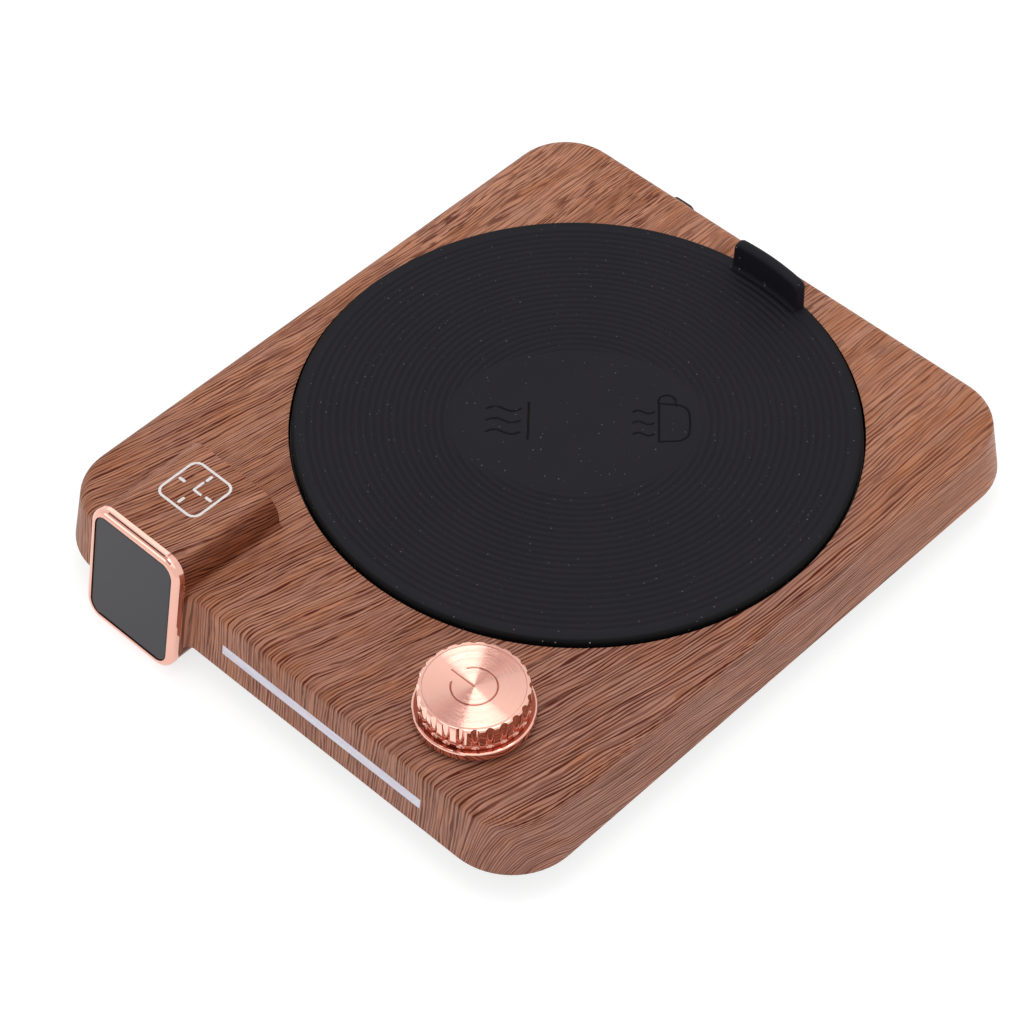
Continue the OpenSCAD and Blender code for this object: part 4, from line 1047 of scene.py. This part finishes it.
def makeClockMark(shape):
    lines = [(roundSquare(shape["half"], shape["corner"]), shape["line"], True)]
    near, far = shape["tick"]
    for dx, dy in ((1, 0), (0, 1), (-1, 0), (0, -1)):
        lines.append((strokeLine((near * dx, near * dy), (far * dx, far * dy)), shape["tickLine"], False))
    hands = shape["hands"]
    turn = hands["turn"]
    upright = strokeLine((0, hands["tall"]), (0, turn), 12)
    level = strokeLine((turn, 0), (hands["wide"], 0), 12)
    lines.append((np.vstack([upright, level]) + np.array(hands["at"]), shape["line"], False))
    points, quads, base = [], [], 0
    for path, width, closed in lines:
        p, f = ribbonPoints(path + np.array(shape["middle"]), width, shape["thick"], shape["level"], closed)
        points.append(p)
        quads.append(f + base)
        base += len(p)
    ink = makeInk(markInk)
    makePiece("clock-mark", np.vstack(points), np.vstack(quads), ink, "housing", crease=60)


makeClockMark(clockMark)
print("clock mark made")

# stage: white floor that keeps the shadow, a soft box, and cards that only mirrors see
# in metres, apart from the mirrors' places and the foot card
overDisc = [(-0.3, -38.0), (0.3, 25.0)]
stage = {
    "floorSize": 8.0,
    "floorLevel": -0.0001,
    "floorGlow": 0.74,
    "floorShare": 0.42,
    "floorPlain": 0.92,
    "sky": (0.76, 1.001),
    "box": {"at": (-0.10, 0.10, 1.10), "aim": (0.0, 0.0, 0.0), "size": (0.5, 0.5), "power": 1.6},
    "mirrors": {"knob": (*knobMiddle, knobTop), "bezel": (housingX, -78.5, housingTop)},
    "cards": [
        {"of": "knob", "round": (121.0, 173.0), "tilts": overDisc, "glow": (1.64, 1.64), "away": 1.3},
        {"of": "knob", "round": (0.0, 76.0), "tilts": overDisc, "glow": (1.16, 0.92), "away": 1.3},
        {"of": "knob", "round": (76.0, 121.0), "tilts": overDisc, "glow": (0.92, 0.30), "away": 1.3,
         "tint": (1.0, 0.84, 0.84)},
        {"of": "bezel", "round": (84.0, 96.0), "tilts": [(-7.0, -20.0)], "glow": (0.05, 0.05), "away": 1.2},
        {"of": "bezel", "round": (80.0, 100.0), "tilts": [(-39.0, -44.0)], "glow": (2.0, 2.0), "away": 1.2},
    ],
    "cardSteps": (17, 13),
    "footCard": {"middle": knobMiddle, "reach": (14.6, 20.0), "round": (304.0, 134.0), "front": -75.2,
                 "level": 21.45, "glow": 1.4, "steps": (41, 5)},
}


def seenDirect(tree):  # 1 for camera, mirror and see-through rays
    path = addNode("LightPath", {}, tree).outputs
    seen = calc("MAXIMUM", path["Is Camera Ray"], path["Is Glossy Ray"])
    return calc("MAXIMUM", seen, path["Is Transmission Ray"])


def newStageFinish(name):  # a material with nothing yet on its surface
    made = bpy.data.materials.new(name)
    made.use_nodes = True
    tree = made.node_tree
    tree.nodes.remove(tree.nodes["Principled BSDF"])
    return made, tree, tree.nodes["Material Output"].inputs["Surface"]


def makeFloorFinish(look):
    made, tree, surface = newStageFinish("studioFloor")
    dull = addNode("BsdfDiffuse", {"Color": (look["floorShare"],) * 3 + (1.0,)}, tree).outputs[0]
    glow = addNode("Emission", {"Color": (1, 1, 1, 1), "Strength": look["floorGlow"]}, tree).outputs[0]
    both = addNode("AddShader", {0: dull, 1: glow}).outputs[0]
    plain = addNode("BsdfDiffuse", {"Color": (look["floorPlain"],) * 3 + (1.0,)}, tree).outputs[0]
    mix = addNode("MixShader", {0: seenDirect(tree), 1: plain, 2: both})
    setInput(surface, mix.outputs[0])
    return made


def showCard(name, points, quads, finish):
    mesh = bpy.data.meshes.new(name)
    mesh.from_pydata(points.tolist(), [], quads.tolist())
    mesh.materials.append(finish)
    card = bpy.data.objects.new(name, mesh)
    scene.collection.objects.link(card)
    return card


def hideCard(card):  # left to mirrors alone
    card.visible_camera = False
    card.visible_diffuse = False
    card.visible_shadow = False


# floor: a level square about the origin
def makeFloor(look):
    x, y = np.meshgrid(*(look["floorSize"] * np.array([-0.5, 0.5]),) * 2, indexing="ij")
    points = np.stack([x, y, 0 * x + look["floorLevel"]], -1).reshape(-1, 3)
    showCard("studio-floor", points, gridQuads(2, 2), makeFloorFinish(look))


# sky card: where a camera ray goes when a level mirror's normal is tilted along each radius of a turn
def makeSkyCard(name, look, tilt, mirror, eye, steps):
    ends = zip((look["round"], tilt), steps)
    a, t = np.meshgrid(*(np.radians(np.linspace(*end, count)) for end, count in ends), indexing="ij")
    half = np.stack([np.cos(a) * np.sin(t), np.sin(a) * np.sin(t), np.cos(t)], -1)
    ray = (eye - mirror) / np.linalg.norm(eye - mirror)
    out = 2 * (half @ ray)[..., None] * half - ray
    finish, tree, surface = newStageFinish(name)
    strength = spread(carried(tree, "fade"), 0.0, 1.0, *look["glow"])
    glow = addNode("Emission", {"Color": (*look.get("tint", (1, 1, 1)), 1), "Strength": strength})
    setInput(surface, glow.outputs[0])
    card = showCard(name, (mirror + look["away"] * out).reshape(-1, 3), gridQuads(*steps), finish)
    layer = card.data.attributes.new("fade", "FLOAT", "POINT")
    layer.data.foreach_set("value", np.repeat(np.linspace(0, 1, steps[0]), steps[1]).astype(np.float32))
    hideCard(card)


# foot card: part of a flat ring on the cover beside the knob, the gloss its flutes pick up from above
def makeFootCard(look):
    turns, reaches = look["steps"]
    a, r = np.meshgrid(np.radians(np.linspace(*look["round"], turns)), np.linspace(*look["reach"], reaches),
                       indexing="ij")
    x = look["middle"][0] + r * np.cos(a)
    y = np.maximum(look["middle"][1] + r * np.sin(a), look["front"])
    finish, tree, surface = newStageFinish("footCard")
    glow = addNode("Emission", {"Strength": look["glow"]}, tree).outputs[0]
    under = addNode("NewGeometry", {}, tree).outputs["Backfacing"]
    clear = addNode("BsdfTransparent", {}, tree).outputs[0]
    setInput(surface, addNode("MixShader", {0: under, 1: glow, 2: clear}).outputs[0])
    points = np.stack([x, y, 0 * x + look["level"]], -1).reshape(-1, 3) * mm
    hideCard(showCard("foot-card", points, gridQuads(turns, reaches), finish))


def makeSoftBox(box):
    data = bpy.data.lights.new("softBox0", "AREA")
    data.shape = "RECTANGLE"
    data.size, data.size_y = box["size"]
    data.energy = box["power"]
    lamp = bpy.data.objects.new("softBox0", data)
    scene.collection.objects.link(lamp)
    lamp.location = box["at"]
    lamp.rotation_mode = "QUATERNION"
    lamp.rotation_quaternion = (Vector(box["aim"]) - Vector(box["at"])).to_track_quat("-Z", "Y")


def makeSky(sky):
    world = bpy.data.worlds.new("studioWorld")
    world.use_nodes = True
    tree = world.node_tree
    shown = tree.nodes["Background"].inputs
    shown["Color"].default_value = (1, 1, 1, 1)
    setInput(shown["Strength"], spread(seenDirect(tree), 0.0, 1.0, *sky))
    scene.world = world


def makeStage(look):
    makeFloor(look)
    eye = np.array(scene.camera.location)
    cards = [(card, tilt) for card in look["cards"] for tilt in card["tilts"]]
    for i, (card, tilt) in enumerate(cards):
        mirror = np.array(look["mirrors"][card["of"]]) * mm
        makeSkyCard("sky-card-%d" % i, card, tilt, mirror, eye, look["cardSteps"])
    makeFootCard(look["footCard"])
    makeSoftBox(look["box"])
    makeSky(look["sky"])


makeStage(stage)
print("stage set")
